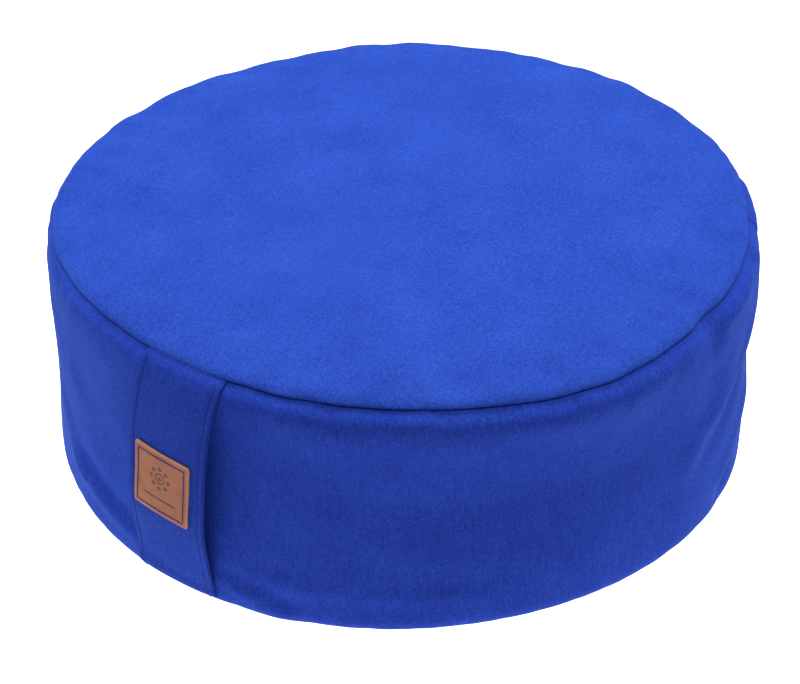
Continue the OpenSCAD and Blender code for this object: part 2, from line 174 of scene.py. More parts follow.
class Paint:
    # one material and its node tree
    def __init__(self, name):
        self.material = bpy.data.materials.new(name)
        self.material.use_nodes = True
        self.tree = self.material.node_tree
        self.tree.nodes.clear()
        self.shader = self.tree.nodes.new("ShaderNodeBsdfPrincipled")
        output = self.tree.nodes.new("ShaderNodeOutputMaterial")
        self.tree.links.new(self.shader.outputs["BSDF"], output.inputs["Surface"])

    def node(self, kind, settings=None, inputs=None, out=0):
        made = self.tree.nodes.new(kind)
        for key, value in (settings or {}).items():
            if key == "stops":
                ramp = made.color_ramp
                while len(ramp.elements) < len(value):
                    ramp.elements.new(0.5)
                for element, (place, colour) in zip(ramp.elements, value):
                    element.position = place
                    element.color = colour
            else:
                setattr(made, key, value)
        for key, value in (inputs or {}).items():
            self.plug(made.inputs[key], value)
        return Wire(self, made.outputs[out])

    def plug(self, socket, value):
        if isinstance(value, Wire):
            self.tree.links.new(value.socket, socket)
        else:
            socket.default_value = value

    def maths(self, operation, *values):
        return self.node("ShaderNodeMath", {"operation": operation}, dict(enumerate(values)))

    def wave(self, length, period):
        # between 0 and 1
        return self.maths("SINE", length * (2 * math.pi / period)) * 0.5 + 0.5

    def objectPlace(self):
        return self.node("ShaderNodeTexCoord", out="Object")

    def clothPlace(self):
        return self.node("ShaderNodeUVMap", {"uv_map": "cloth"})

    def attribute(self, name):
        return self.node("ShaderNodeAttribute", {"attribute_name": name}, out="Fac")

    def parts(self, vector):
        split = self.node("ShaderNodeSeparateXYZ", inputs={0: vector}).socket.node
        return [Wire(self, split.outputs[i]) for i in range(3)]

    def noise(self, vector, size, detail=2.0, rough=0.5):
        return self.node("ShaderNodeTexNoise", inputs={
            "Vector": vector, "Scale": 1 / size, "Detail": detail, "Roughness": rough})

    def stretched(self, vector, along):
        return self.node("ShaderNodeMapping", inputs={"Vector": vector, "Scale": along})

    def between(self, low, high, value):
        return self.node("ShaderNodeMapRange", {"interpolation_type": "SMOOTHSTEP"},
                         {"Value": value, "From Min": low, "From Max": high})

    def mix(self, factor, first, second):
        return self.node("ShaderNodeMix", {"data_type": "RGBA"}, {0: factor, 6: first, 7: second}, out=2)

    def finish(self, varying, fixed, bump=None, bumpHeight=0.2 * mm, bumpStrength=1.0):
        for key, value in fixed.items():
            self.shader.inputs[key].default_value = value
        for key, value in varying.items():
            self.plug(self.shader.inputs[key], value)
        if bump is not None:
            normal = self.node("ShaderNodeBump", inputs={
                "Height": bump, "Distance": bumpHeight, "Strength": bumpStrength})
            self.plug(self.shader.inputs["Normal"], normal)
        return self.material


def rgb(red, green, blue):
    # 0 to 255 display values to the linear colour that a shader takes
    def straight(value):
        value = value / 255
        return value / 12.92 if value <= 0.04045 else ((value + 0.055) / 1.055) ** 2.4
    return (straight(red), straight(green), straight(blue), 1)


def dimmed(colour, share):
    return [c * share for c in colour[:3]] + [1]


def glowingFloorPaper(name, settings):
    paint = Paint(name)
    # painted light: the floor glows at nearGlow round the cushion and fades to farGlow further out, so the
    # cushion casts almost no shadow on it
    across, along = paint.parts(paint.objectPlace())[:2]
    away = paint.maths("SQRT", across * across + along * along)
    dim = settings["farGlow"] / settings["nearGlow"]
    far = paint.between(settings["nearRadius"], settings["farRadius"], away)
    glow = paint.mix(far, (1, 1, 1, 1), (dim, dim, dim, 1))
    pale = (settings["floorPale"],) * 3 + (1,)
    return paint.finish({"Emission Color": glow},
                        {"Base Color": pale, "Roughness": 0.9, "Emission Strength": settings["nearGlow"]})


makeCamera(camera)
makeStudio(studio)
print("camera and studio set up")

# materials

twill = {
    "dark": rgb(27, 46, 135),
    "main": rgb(37, 67, 166),
    "light": rgb(53, 90, 191),
    "yarn": 0.62 * mm,
    "rib": 1.5 * mm,
    "bump": 0.16 * mm,
}


def twillCloth(name, settings, ribShare=0.32, grainShare=0.35, shade=(1.0, 1.0, 1.0)):
    paint = Paint(name)
    cloth = paint.clothPlace()
    across, along = paint.parts(cloth)[:2]
    wander = (paint.noise(cloth, 9 * mm, 2) - 0.5) * (0.5 * mm)
    rib = paint.wave(across + along + wander, settings["rib"])
    warp = paint.wave(across + wander, settings["yarn"])
    weft = paint.wave(along + wander, settings["yarn"])
    slubs = paint.noise(paint.stretched(cloth, (1.0, 0.06, 1.0)), 0.9 * mm, 2, 0.6)
    fuzz = paint.noise(cloth, 0.45 * mm, 3, 0.7)
    weave = rib * ribShare + warp * weft * 0.3 + slubs * grainShare + fuzz * 0.5
    middle = 0.5 * (ribShare + grainShare) + 0.325
    body = paint.objectPlace()
    mottle = paint.noise(body, 38 * mm, 4, 0.6)
    grain = paint.noise(body, 2.2 * mm, 3, 0.65)
    speckle = paint.noise(body, 0.8 * mm, 2, 0.6)
    uneven = (mottle - 0.5) * 0.4 + (grain - 0.5) * 0.6 + (speckle - 0.5) * 1.1
    lightness = uneven + (weave - middle) * 0.6 + 0.5
    # shade scales the colour stops; for the wall and the strap it is painted shade, darker and bluer than
    # the top, where less light falls
    stops = [(place, [c * s for c, s in zip(settings[tone], shade)] + [1])
             for place, tone in ((0.12, "dark"), (0.50, "main"), (0.95, "light"))]
    colour = paint.node("ShaderNodeValToRGB", {"stops": stops}, {0: lightness})
    cells = paint.node("ShaderNodeTexVoronoi", {"feature": "F1"}, {"Vector": body, "Scale": 1 / (17 * mm)})
    lint = paint.between(0.042, 0.02, cells) * paint.between(0.55, 0.62, paint.noise(body, 23 * mm, 1))
    colour = paint.mix(lint * 0.35, colour, rgb(120, 145, 225))
    return paint.finish(
        {"Base Color": colour, "Roughness": 0.78 + (weave - middle) * 0.12},
        {"Sheen Weight": 0.2, "Sheen Roughness": 0.45, "Sheen Tint": (0.04, 0.26, 1.0, 1),
         "Specular IOR Level": 0.04},
        weave, settings["bump"])


def sewingThread(name, colour):
    paint = Paint(name)
    place = paint.objectPlace()
    across, along, upright = paint.parts(place)
    twist = paint.wave(across + along + upright * 1.7, 0.5 * mm)
    fuzz = paint.noise(place, 0.3 * mm, 2)
    shade = paint.mix(twist * 0.6 + fuzz * 0.3, dimmed(colour, 0.55), colour)
    return paint.finish({"Base Color": shade, "Roughness": 0.55 + fuzz * 0.25}, {"Specular IOR Level": 0.15},
                        twist, 0.06 * mm)


def wovenTape(name, colour):
    paint = Paint(name)
    place = paint.objectPlace()
    across, along, upright = paint.parts(place)
    ribs = paint.wave(upright, 0.8 * mm)
    picks = paint.wave(across + along, 0.7 * mm)
    weave = ribs * 0.5 + picks * 0.3 + paint.noise(place, 0.5 * mm, 2) * 0.4
    shade = paint.mix(weave, dimmed(colour, 0.6), colour)
    return paint.finish({"Base Color": shade, "Roughness": 0.7 + weave * 0.15}, {"Sheen Weight": 0.2},
                        weave, 0.12 * mm)


def nylonCoil(name, colour):
    paint = Paint(name)
    place = paint.objectPlace()
    scuffs = paint.noise(place, 1.4 * mm, 3)
    shade = paint.mix(scuffs, dimmed(colour, 0.7), colour)
    return paint.finish({"Base Color": shade, "Roughness": 0.28 + scuffs * 0.25}, {"Coat Weight": 0.1},
                        scuffs, 0.02 * mm)


def platedMetal(name):
    paint = Paint(name)
    place = paint.objectPlace()
    wear = paint.noise(place, 1.8 * mm, 4, 0.6)
    brushed = paint.noise(paint.stretched(place, (0.2, 0.2, 3.0)), 0.4 * mm, 2)
    shade = paint.mix(wear, (0.42, 0.42, 0.43, 1), (0.72, 0.72, 0.74, 1))
    roughness = 0.2 + wear * 0.16 + brushed * 0.06
    return paint.finish({"Base Color": shade, "Roughness": roughness, "Metallic": 1.0}, {},
                        brushed * 0.5 + wear, 0.02 * mm)


leather = {
    "dark": rgb(116, 66, 42),
    "main": rgb(155, 91, 58),
    "light": rgb(176, 111, 72),
    "edge": rgb(208, 150, 118),
    "pressed": rgb(84, 46, 32),
    "grain": 1.1 * mm,
}


def patchLeather(name, settings):
    paint = Paint(name)
    place = paint.objectPlace()
    pressed = paint.attribute("pressed")
    worn = paint.attribute("worn")
    mottle = paint.noise(place, 9 * mm, 4, 0.6)
    cells = paint.node("ShaderNodeTexVoronoi", {"feature": "DISTANCE_TO_EDGE"},
                       {"Vector": place, "Scale": 1 / settings["grain"]})
    creases = paint.between(0.0, 0.16, cells)
    pores = paint.noise(place, 0.5 * mm, 3)
    tone = paint.node("ShaderNodeValToRGB", {"stops": [
        (0.25, settings["dark"]), (0.52, settings["main"]), (0.85, settings["light"])]},
        {0: (mottle - 0.5) * 0.55 + creases * 0.1 + pores * 0.15 + 0.4})
    tone = paint.mix(worn * (0.55 + mottle * 0.4), tone, settings["edge"])
    tone = paint.mix(pressed * 0.8, tone, settings["pressed"])
    return paint.finish(
        {"Base Color": tone, "Roughness": 0.66 - pressed * 0.18 + (mottle - 0.5) * 0.2},
        {"Specular IOR Level": 0.4},
        creases * 0.7 + pores * 0.5, 0.1 * mm)


def bagCotton(name, colour):
    paint = Paint(name)
    place = paint.objectPlace()
    across, along, upright = paint.parts(place)
    warp = paint.wave(across + along, 0.5 * mm)
    weft = paint.wave(upright + along, 0.5 * mm)
    slubs = paint.noise(paint.stretched(place, (1, 1, 0.1)), 1.2 * mm, 3)
    weave = warp * weft * 0.6 + slubs * 0.5
    shade = paint.mix(weave, dimmed(colour, 0.8), colour)
    return paint.finish({"Base Color": shade, "Roughness": 0.85 - weave * 0.1}, {"Sheen Weight": 0.1},
                        weave, 0.12 * mm)


def looseHulls(name):
    paint = Paint(name)
    place = paint.objectPlace()
    grains = paint.node("ShaderNodeTexVoronoi", {"feature": "F1"}, {"Vector": place, "Scale": 1 / (4 * mm)},
                        out="Distance")
    tint = paint.noise(place, 3 * mm, 2)
    shade = paint.mix(tint, rgb(48, 28, 18), rgb(128, 86, 54))
    return paint.finish({"Base Color": shade, "Roughness": 0.5 + grains * 0.4}, {}, 1 - grains, 1.5 * mm)


coverCloth = twillCloth("coverTwill", twill)
# the wall is the top's cloth painted darker and bluer: painted shade for the light that falls less on its
# sides
wallClothPaintedShade = twillCloth("wallTwillPaintedShade", twill, 0.22, 0.75, (0.85, 0.79, 0.95))
# the strap is the same cloth painted darker still: painted shade
strapClothPaintedShade = twillCloth("strapTwillPaintedShade", twill, 0.3, 0.95, (0.74, 0.68, 0.84))
blueThread = sewingThread("blueThread", rgb(36, 62, 164))
whiteThread = sewingThread("whiteThread", rgb(235, 232, 222))
blueTape = wovenTape("blueZipTape", rgb(28, 46, 130))
whiteTape = wovenTape("whiteZipTape", rgb(232, 230, 222))
blueCoil = nylonCoil("blueZipCoil", rgb(34, 56, 150))
whiteCoil = nylonCoil("whiteZipCoil", rgb(236, 236, 232))
nickel = platedMetal("nickelPlate")
tanLeather = patchLeather("tanLeather", leather)
rawCotton = bagCotton("rawCotton", rgb(232, 224, 204))
grainHulls = looseHulls("grainHulls")
print("materials made")

# the cushion's shape

lowPoint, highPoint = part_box("cover_side_band")
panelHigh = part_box("cover_top_panel")[1]
clothThick = 0.8 * mm
cushion = {
    "seamRadius": panelHigh.x,
    "midRadius": highPoint.x,
    "topSeam": highPoint.z + 0.9 * mm,
    "bottomSeam": lowPoint.z - 0.9 * mm,
    "crown": panelHigh.z,
    "turnHigh": 14 * mm,           # where the wall starts to turn under
    "turnIn": 8 * mm,
    "underSeam": 3.4 * mm,         # height of the hidden seam under the edge
    "zipArc": math.radians(110),
    "zipAngle": math.radians(90),
    "rimTwist": 2.4 * mm,          # the rim rises and falls twice on its way round
    # how far the top seam, then the lower edge, is pushed out: degrees from the view, width in degrees, mm
    "rimOut": ((-45, 24, -3.0), (26, 18, 2.6), (110, 16, 2.2)),
    "footOut": ((-40, 26, 0.6), (8, 34, -1.2), (66, 26, 1.6)),
    "underStrap": 0.4 * mm,        # the same for the foot behind the strap's lower end
    # where the rim is gathered: degrees from the view, width in degrees, mm in and mm down
    "pinches": ((56, 3.0, 2.3, 1.3), (-86, 5.0, 0.8, 0.5), (148, 4.0, 0.9, 0.5), (-128, 4.5, 1.1, 0.7)),
    "backRise": 1.0 * mm,          # how much higher the rim stands at the far side
    "seed": 11,
}


def ripple(angle, counts, size, seed):
    # a smooth closed ripple round the cushion, always the same for a seed
    rng = np.random.default_rng(seed)
    total = np.zeros_like(angle)
    for count in counts:
        total = total + math.sqrt(2 / len(counts)) * np.cos(count * angle + rng.uniform(0, 2 * math.pi))
    return total * size


def hump(value, middle, width, power=2):
    return np.exp(-np.abs((value - middle) / width) ** power)


def easeIn(value):
    value = np.clip(value, 0, 1)
    return value * value * (3 - 2 * value)


def turnFrom(angle, middle):
    # the turn from a middle angle, at most half a round either way
    return (angle - middle + math.pi) % (2 * math.pi) - math.pi


def awayFromView(angle):
    # degrees round from the camera's direction, positive to its right
    return np.degrees(turnFrom(angle, viewAngle))


def pastZip(angle):
    # the turn past the nearer end of the cover's zip, negative within its arc
    return np.abs(turnFrom(angle, cushion["zipAngle"])) - cushion["zipArc"] / 2


def topSeamRadius(angle):
    away = awayFromView(angle)
    seed = cushion["seed"]
    radius = cushion["seamRadius"]
    for middle, width, out in cushion["rimOut"]:
        radius = radius + out * mm * hump(away, middle, width)
    radius = radius + ripple(angle, (5, 7, 9), 0.35 * mm, seed)
    radius = radius + ripple(angle, (23, 31, 37), 0.14 * mm, seed + 1)
    for middle, width, inwards, _ in cushion["pinches"]:
        radius = radius - inwards * mm * hump(away, middle, width)
    return radius


def topSeamHeight(angle):
    away = awayFromView(angle)
    seed = cushion["seed"]
    height = (cushion["topSeam"] - cushion["rimTwist"] * np.sin(2 * np.radians(away))
              + cushion["backRise"] * (0.5 - 0.5 * np.cos(np.radians(away))) ** 2
              + ripple(angle, (4, 6, 9), 0.4 * mm, seed + 2)
              + ripple(angle, (27, 34, 41), 0.18 * mm, seed + 3))
    for middle, width, _, down in cushion["pinches"]:
        height = height - down * mm * hump(away, middle, width)
    return height


def footFuller(angle):
    away = awayFromView(angle)
    fuller = sum(out * mm * hump(away, middle, width) for middle, width, out in cushion["footOut"])
    return fuller + cushion["underStrap"] * hump(away, -camera["aroundFromHandle"], 9, 6)


def bottomSeamRadius(angle):
    uneven = ripple(angle, (3, 5, 8), 0.5 * mm, cushion["seed"] + 4)
    return cushion["midRadius"] - cushion["turnIn"] + footFuller(angle) + uneven


def ringPlaces(radius, angle, height):
    return np.stack([radius * np.cos(angle), radius * np.sin(angle), height + 0 * angle], 1)


def newPiece(name, places, faces, uvs=None):
    mesh = bpy.data.meshes.new(name)
    mesh.from_pydata([tuple(p) for p in places], [], faces)
    if uvs is not None:
        layer = mesh.uv_layers.new(name="cloth")
        corners = np.zeros(len(mesh.loops), int)
        mesh.loops.foreach_get("vertex_index", corners)
        layer.data.foreach_set("uv", np.asarray(uvs, float)[corners].ravel())
    mesh.polygons.foreach_set("use_smooth", [True] * len(mesh.polygons))
    return addObject(name, mesh)


def gridFaces(rows, columns, closed=False, flip=False):
    faces = []
    for i in range(rows - 1):
        for j in range(columns if closed else columns - 1):
            a, b = i * columns + j, i * columns + (j + 1) % columns
            face = (a, b, b + columns, a + columns)
            faces.append(face[::-1] if flip else face)
    return faces


def bandFaces(first, second):
    # quads between two closed rows of as many points
    ahead = zip(first, second, second[1:] + second[:1], first[1:] + first[:1])
    return [tuple(face) for face in ahead]


def vertexPlaces(mesh):
    places = np.zeros(len(mesh.vertices) * 3)
    mesh.vertices.foreach_get("co", places)
    return places.reshape(-1, 3)


def setVertexPlaces(mesh, places):
    mesh.vertices.foreach_set("co", np.asarray(places, float).ravel())
    mesh.update()


def join(piece, node, body="cushion", material=None):
    if material is not None:
        piece.data.materials.clear()
        piece.data.materials.append(material)
    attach(piece, body)
    if node is not None:
        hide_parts(*([node] if isinstance(node, str) else node))
    return piece


clothRun = {
    "frames": 18,
    "pressure": 3.0,
    "tension": 14.0,
    "shear": 4.0,
    "bending": 1.2,
    "mass": 0.3,
    "quality": 6,
}


def relaxCloth(piece, held, cap, extraCloth, rings=None, keepSwell=1.0, calm=0.0, settings=clothRun):
    # runs Blender's cloth on a panel that is held along its seams, then keeps the result.
    # extraCloth is how much bigger the cloth is cut than its shape; where rings gives the number of
    # points in a row, only a share of each row's mean movement is kept. calm is the share of every
    # movement that is given up, as a number or one number for each point
    start = vertexPlaces(piece.data)
    group = piece.vertex_groups.new(name="held")
    for index, weight in enumerate(held):
        if weight > 0:
            group.add([index], float(weight), "REPLACE")
    cloth = piece.modifiers.new("cloth", "CLOTH")
    cloth.settings.vertex_group_mass = "held"
    cloth.settings.quality = settings["quality"]
    cloth.settings.mass = settings["mass"]
    cloth.settings.tension_stiffness = settings["tension"]
    cloth.settings.compression_stiffness = settings["tension"]
    cloth.settings.shear_stiffness = settings["shear"]
    cloth.settings.bending_stiffness = settings["bending"]
    cloth.settings.use_pressure = True
    cloth.settings.uniform_pressure_force = settings["pressure"]
    cloth.settings.shrink_min = -extraCloth
    cloth.settings.effector_weights.gravity = 0
    cloth.collision_settings.use_collision = False
    cloth.point_cache.frame_start = 1
    cloth.point_cache.frame_end = settings["frames"]
    for step in range(1, settings["frames"] + 1):
        scene.frame_set(step)
    shaped = piece.evaluated_get(bpy.context.evaluated_depsgraph_get())
    moved = vertexPlaces(shaped.data) - start
    if rings is not None:
        outwards = start * (1, 1, 0) / np.linalg.norm(start[:, :2], axis=1)[:, None]
        swell = np.sum(moved * outwards, axis=1).reshape(-1, rings).mean(axis=1)
        moved -= outwards * np.repeat(swell, rings)[:, None] * (1 - keepSwell)
    far = np.linalg.norm(moved, axis=1)
    print("  ", piece.name, "cloth moved up to", round(float(far.max()) / mm, 1), "mm")
    moved *= (cap * np.tanh(far / cap) / np.maximum(far, 1e-9) * (1 - calm))[:, None]
    piece.modifiers.remove(cloth)
    piece.vertex_groups.remove(group)
    scene.frame_set(1)
    setVertexPlaces(piece.data, start + moved)


def roundOff(piece, levels=1):
    smooth = piece.modifiers.new("smooth", "SUBSURF")
    smooth.levels = levels
    smooth.render_levels = levels


def giveThickness(piece, thick=clothThick, levels=1):
    roundOff(piece, levels)
    solid = piece.modifiers.new("thickness", "SOLIDIFY")
    solid.thickness = thick
    solid.offset = -1


# the rolled edge beside the top seam: mm in from the seam's line, and mm above or below it
rolledTop = ((-2.2, -0.5), (-1.2, -0.2), (-0.5, 0.5), (-0.45, 1.6), (-1.3, 3.0), (-3.2, 4.2), (-6.2, 5.1))
rolledSide = ((-2.2, -0.5), (-1.3, -0.8), (-0.5, -1.6), (0.0, -3.0), (0.25, -5.0))
# the wall's last rows, past the hidden seam: mm in from it, and mm above it
hiddenRows = ((0.9, 0.35), (1.3, 1.4))

topPanel = {
    "cells": 56,
    "domePower": 3.4,
    "cap": 3 * mm,
    "extraCloth": 0.012,
    "rimCalm": 0.5,
    # degrees from the view, distance out, then width and depth in mm
    "dimples": (
        (-14, 181, 9, 2.0), (-25, 186, 8, 1.0), (8, 187, 9, 0.5), (57, 184, 8, 2.0), (71, 170, 12, 1.2),
        (118, 183, 9, 0.8), (-100, 182, 10, 0.7), (160, 184, 10, 0.8), (-128, 184, 7, 1.2),
        (-139, 176, 9, 0.9), (-150, 185, 7, 1.1), (-158, 172, 9, -0.6), (-133, 165, 12, -0.5),
        (-171, 183, 8, 0.9),
    ),
}


def discGrid(cells):
    # a square grid drawn onto a disc, with even quads and no pole: each point's share of the way out,
    # and its angle
    line = np.linspace(-1, 1, cells + 1)
    x, y = (a.ravel() for a in np.meshgrid(line, line))
    wide = np.abs(x) >= np.abs(y)
    safeX, safeY = np.where(x == 0, 1, x), np.where(y == 0, 1, y)
    r = np.where(wide, x, y)
    angle = np.where(wide, (math.pi / 4) * y / safeX, math.pi / 2 - (math.pi / 4) * x / safeY)
    x, y = r * np.cos(angle), r * np.sin(angle)
    return np.hypot(x, y), np.arctan2(y, x)


def discRing(cells):
    # the disc grid's edge, anticlockwise
    n = cells + 1
    bottom = list(range(n))
    right = [i * n + n - 1 for i in range(1, n)]
    top = [(n - 1) * n + i for i in range(n - 2, -1, -1)]
    left = [i * n for i in range(n - 2, 0, -1)]
    return bottom + right + top + left


def discPiece(name, cells, disc, rings, faceUp):
    # a disc grid and the rings round it; each ring is a function of the angle that gives radius and
    # height. It also gives how firmly each point is held: the last two rings are
    places, angle = disc
    edge = discRing(cells)
    edgeAngle = angle[edge]
    faces = gridFaces(cells + 1, cells + 1, flip=not faceUp)
    parts, uvs = [places], [places[:, :2]]
    below, grown = edge, np.hypot(places[edge, 0], places[edge, 1])
    last = places[edge]
    for ring in rings:
        radius, height = ring(edgeAngle)
        here = ringPlaces(radius, edgeAngle, height)
        grown = grown + np.linalg.norm(here - last, axis=1)
        start = sum(len(p) for p in parts)
        parts.append(here)
        uvs.append(np.stack([grown * np.cos(edgeAngle), grown * np.sin(edgeAngle)], 1))
        new = list(range(start, start + len(edge)))
        faces += [face if faceUp else face[::-1] for face in bandFaces(below, new)]
        below, last = new, here
    held = np.zeros(sum(len(p) for p in parts))
    held[-2 * len(edge):] = 1
    return newPiece(name, np.concatenate(parts), faces, np.concatenate(uvs)), held


def domeHeight(share, angle):
    # the cover's outer top face, at a share of the way out to its rolled edge
    up = rolledTop[-1][1] * mm
    rise = cushion["crown"] - cushion["topSeam"] - up
    height = topSeamHeight(angle) * share ** 2 + cushion["topSeam"] * (1 - share ** 2) + up
    return height + rise * (1 - share ** topPanel["domePower"])


def makeTopPanel(settings):
    share, angle = discGrid(settings["cells"])
    radius = share * (topSeamRadius(angle) + rolledTop[-1][0] * mm)
    height = domeHeight(share, angle)
    away = awayFromView(angle)
    for side, out, wide, deep in settings["dimples"]:
        spot = np.hypot(np.radians(away - side) * out, radius / mm - out) / wide
        height = height - deep * mm * hump(spot, 0, 1)
    rings = [lambda a, i=i, u=u: (topSeamRadius(a) + i * mm, topSeamHeight(a) + u * mm)
             for i, u in rolledTop[-2::-1]]
    piece, held = discPiece("coverTopPanel", settings["cells"], (ringPlaces(radius, angle, height), angle),
                            rings, True)
    out = np.hypot(*vertexPlaces(piece.data)[:, :2].T) / cushion["seamRadius"]
    calm = settings["rimCalm"] * np.minimum(out, 1) ** 8
    relaxCloth(piece, held, settings["cap"], settings["extraCloth"], calm=calm)
    giveThickness(piece)
    join(piece, "cover_top_panel", material=coverCloth)


makeTopPanel(topPanel)
print("top panel made")

zipMiddle = (cushion["topSeam"] + cushion["bottomSeam"]) / 2
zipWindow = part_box("zip_upper_strip")[0].z - zipMiddle
wall = {
    "rows": 26,
    "columns": 230,
    "stripRows": 14,
    "stripColumns": 116,
    "turnRows": 6,
    "cap": 4 * mm,
    "extraCloth": 0.02,
    "keepSwell": 0.15,
    "rimCalm": 0.5,
    "footCalm": 0.75,
    "calmReach": 25 * mm,
    # to the right of the strap the wall is drawn in below its puffed band, and full again at the foot:
    # mm, then its middle and width in degrees from the view
    "waist": (6.5, 20, 45),
    # the puffed band just under the top seam: degrees from the view, width in degrees, mm that it stands out
    "puffDepth": 11 * mm,
    "puffs": ((88, 30, 0.8), (-90, 32, -2.1), (0, 400, 4.2), (0, 45, 1.6)),
    "lean": 2.0 * mm,              # how far its middle is pushed over to the right
    "zipQuiet": 14 * mm,           # the cloth lies smooth this near the zip
    "jointDent": 0.5 * mm,         # the groove along the upright seams
    "jointWide": 1.6 * mm,
    "seamRows": 3,                 # rows that are held still at a seam, and at a folded edge
    "foldRows": 9,
    # soft folds: start and end in degrees from the view and mm of height, then width and depth in mm
    "folds": (
        (79, 125, 57, 72, 8, 3.2), (77, 68, 61, 28, 8, 3.0), (74, 142, 60, 137, 4, 1.2),
        (66, 118, 50, 52, 9, 1.6), (-79, 128, -60, 78, 9, 1.3), (-76, 70, -60, 30, 8, 1.2),
        (-22, 33, 14, 29, 4, 1.4), (-12, 42, 6, 38, 4, 0.8), (130, 130, 112, 100, 10, 1.2),
        (-120, 110, -103, 50, 10, 1.4), (165, 130, 150, 105, 7, 0.8), (150, 60, 135, 25, 9, 1.0),
        (-66, 40, -46, 24, 5, 3.4), (-30, 24, -16, 13, 4, 2.6),
    ),
}


def besideZip(angle):
    # 1 within the zip's arc, falling to 0 just outside it
    return 1 / (1 + np.exp(np.degrees(pastZip(angle)) * 3))


def foldHeight(angle, height):
    # how far the wall stands out along its soft folds
    away = awayFromView(angle)
    total = np.zeros_like(height)
    for startTurn, startHigh, endTurn, endHigh, wide, deep in wall["folds"]:
        run = np.array([math.radians(endTurn - startTurn) * cushion["seamRadius"] / mm, endHigh - startHigh])
        length = np.linalg.norm(run)
        along = run / length
        dx, dy = np.radians(away - startTurn) * cushion["seamRadius"] / mm, height / mm - startHigh
        s = (dx * along[0] + dy * along[1]) / length
        d = (-dx * along[1] + dy * along[0]) / wide
        fade = 1 / (1 + np.exp(-(s - 0.04) * 18)) / (1 + np.exp((s - 0.96) * 18))
        total += deep * mm * fade * (hump(d, 0, 1) - 0.8 * hump(d, 1.5, 1))
    return total


def waistIn(angle, share):
    # how far the wall is drawn in, at a share of its height
    depth, middle, width = wall["waist"]
    hollow = easeIn(share / 0.45) * np.minimum((1 - share) / 0.55, 1)
    return depth * mm * hump(awayFromView(angle), middle, width, 4) * hollow


def wallRadius(angle, height):
    top, bottom = topSeamHeight(angle), cushion["bottomSeam"]
    share = np.clip((top - height) / (top - bottom), 0, 1)
    edge = topSeamRadius(angle) * (1 - share) ** 1.5 + cushion["seamRadius"] * (1 - (1 - share) ** 1.5)
    bulge = (cushion["midRadius"] - cushion["seamRadius"]) * (1 - np.maximum(1 - 2 * share, 0) ** 3)
    gathers = ripple(angle, (43, 58, 71, 90), 0.25 * mm, 21) * hump(share, 0, 0.06) * (share > 0)
    away = awayFromView(angle)
    puff = sum(out * mm * hump(away, middle, width) for middle, width, out in wall["puffs"])
    below = np.maximum(top - height, 0) / wall["puffDepth"]
    bulge = bulge + puff * below * np.exp(1 - below)
    bulge = bulge + footFuller(angle) * share ** 3
    bulge = bulge - waistIn(angle, share)
    bulge = bulge + wall["lean"] * np.sin(np.radians(away)) * 4 * share * (1 - share)
    quiet = 1 - besideZip(angle) * hump(height, zipMiddle, wall["zipQuiet"], 4)
    joint = hump(pastZip(angle) * cushion["midRadius"], 0, wall["jointWide"])
    folds = foldHeight(angle, height) * quiet * (1 - joint)
    return edge + bulge + gathers + folds - wall["jointDent"] * joint


def wallFace(angle, height):
    # the wall's outer face, down round its turned foot
    high = cushion["turnHigh"]
    drop = np.clip((high - height) / (high - cushion["underSeam"]), 0, 1)
    edge = wallRadius(angle, np.maximum(height, high))
    return edge - (edge - bottomSeamRadius(angle)) * (1 - np.sqrt(1 - drop ** 2))


# the folded edge beside the zip: mm in from the wall's face, and mm back from the fold
foldReach = 1.6 * mm
foldedEdge = ((-1.6, 6.0), (-1.58, 1.3), (-1.3, 0.3), (-0.8, 0.0), (-0.25, 0.18), (-0.03, 0.7))


def makeWall(name, node, fromAngle, toAngle, columns, rows, upper, lower):
    # upper and lower say whether that edge is at a seam, or folded under at a height beside the zip
    angles = np.linspace(fromAngle, toAngle, columns)
    lines = []
    if upper == "seam":
        radius, high = topSeamRadius(angles), topSeamHeight(angles)
        lines += [(radius + i * mm, high + u * mm) for i, u in rolledSide[:-1]]
        high = high + rolledSide[-1][1] * mm
    else:
        high = np.full(columns, upper)
        lines += [(wallRadius(angles, high) + i * mm, high - b * mm) for i, b in foldedEdge]
        high = high - foldReach
    low = np.full(columns, cushion["turnHigh"] if lower == "seam" else lower + foldReach)
    for share in np.linspace(0, 1, rows):
        height = high + (low - high) * share
        lines.append((wallRadius(angles, height), height))
    if lower == "seam":
        foot = bottomSeamRadius(angles)
        for step in range(1, wall["turnRows"] + 1):
            turn = math.pi / 2 * step / wall["turnRows"]
            height = low - (low - cushion["underSeam"]) * math.sin(turn)
            lines.append((wallFace(angles, height), height))
        lines += [(foot - i * mm, cushion["underSeam"] + u * mm) for i, u in hiddenRows]
    else:
        fold = np.full(columns, lower)
        lines += [(wallRadius(angles, fold) + i * mm, fold + b * mm) for i, b in foldedEdge[::-1]]
    places = np.concatenate([ringPlaces(r, angles, z) for r, z in lines])
    steps = [float(np.hypot(np.mean(b[0] - a[0]), np.mean(b[1] - a[1]))) for a, b in zip(lines, lines[1:])]
    depth = np.concatenate([[0], np.cumsum(steps)])
    along = angles * cushion["seamRadius"]
    uvs = np.concatenate([np.stack([along, np.full(columns, -d)], 1) for d in depth])
    piece = newPiece(name, places, gridFaces(len(lines), columns, flip=True), uvs)
    held = np.zeros((len(lines), columns))
    held[:wall["seamRows" if upper == "seam" else "foldRows"]] = 1
    held[-wall["seamRows" if lower == "seam" else "foldRows"]:] = 1
    held[:, [0, -1]] = 1
    nearTop = 1 - easeIn((cushion["topSeam"] - places[:, 2]) / wall["calmReach"])
    nearFoot = 1 - easeIn((places[:, 2] - 0.4 * wall["calmReach"]) / wall["calmReach"])
    calm = 1 - (1 - wall["rimCalm"] * nearTop) * (1 - wall["footCalm"] * nearFoot)
    relaxCloth(piece, held.ravel(), wall["cap"], wall["extraCloth"], columns, wall["keepSwell"], calm)
    giveThickness(piece)
    join(piece, node, material=wallClothPaintedShade)


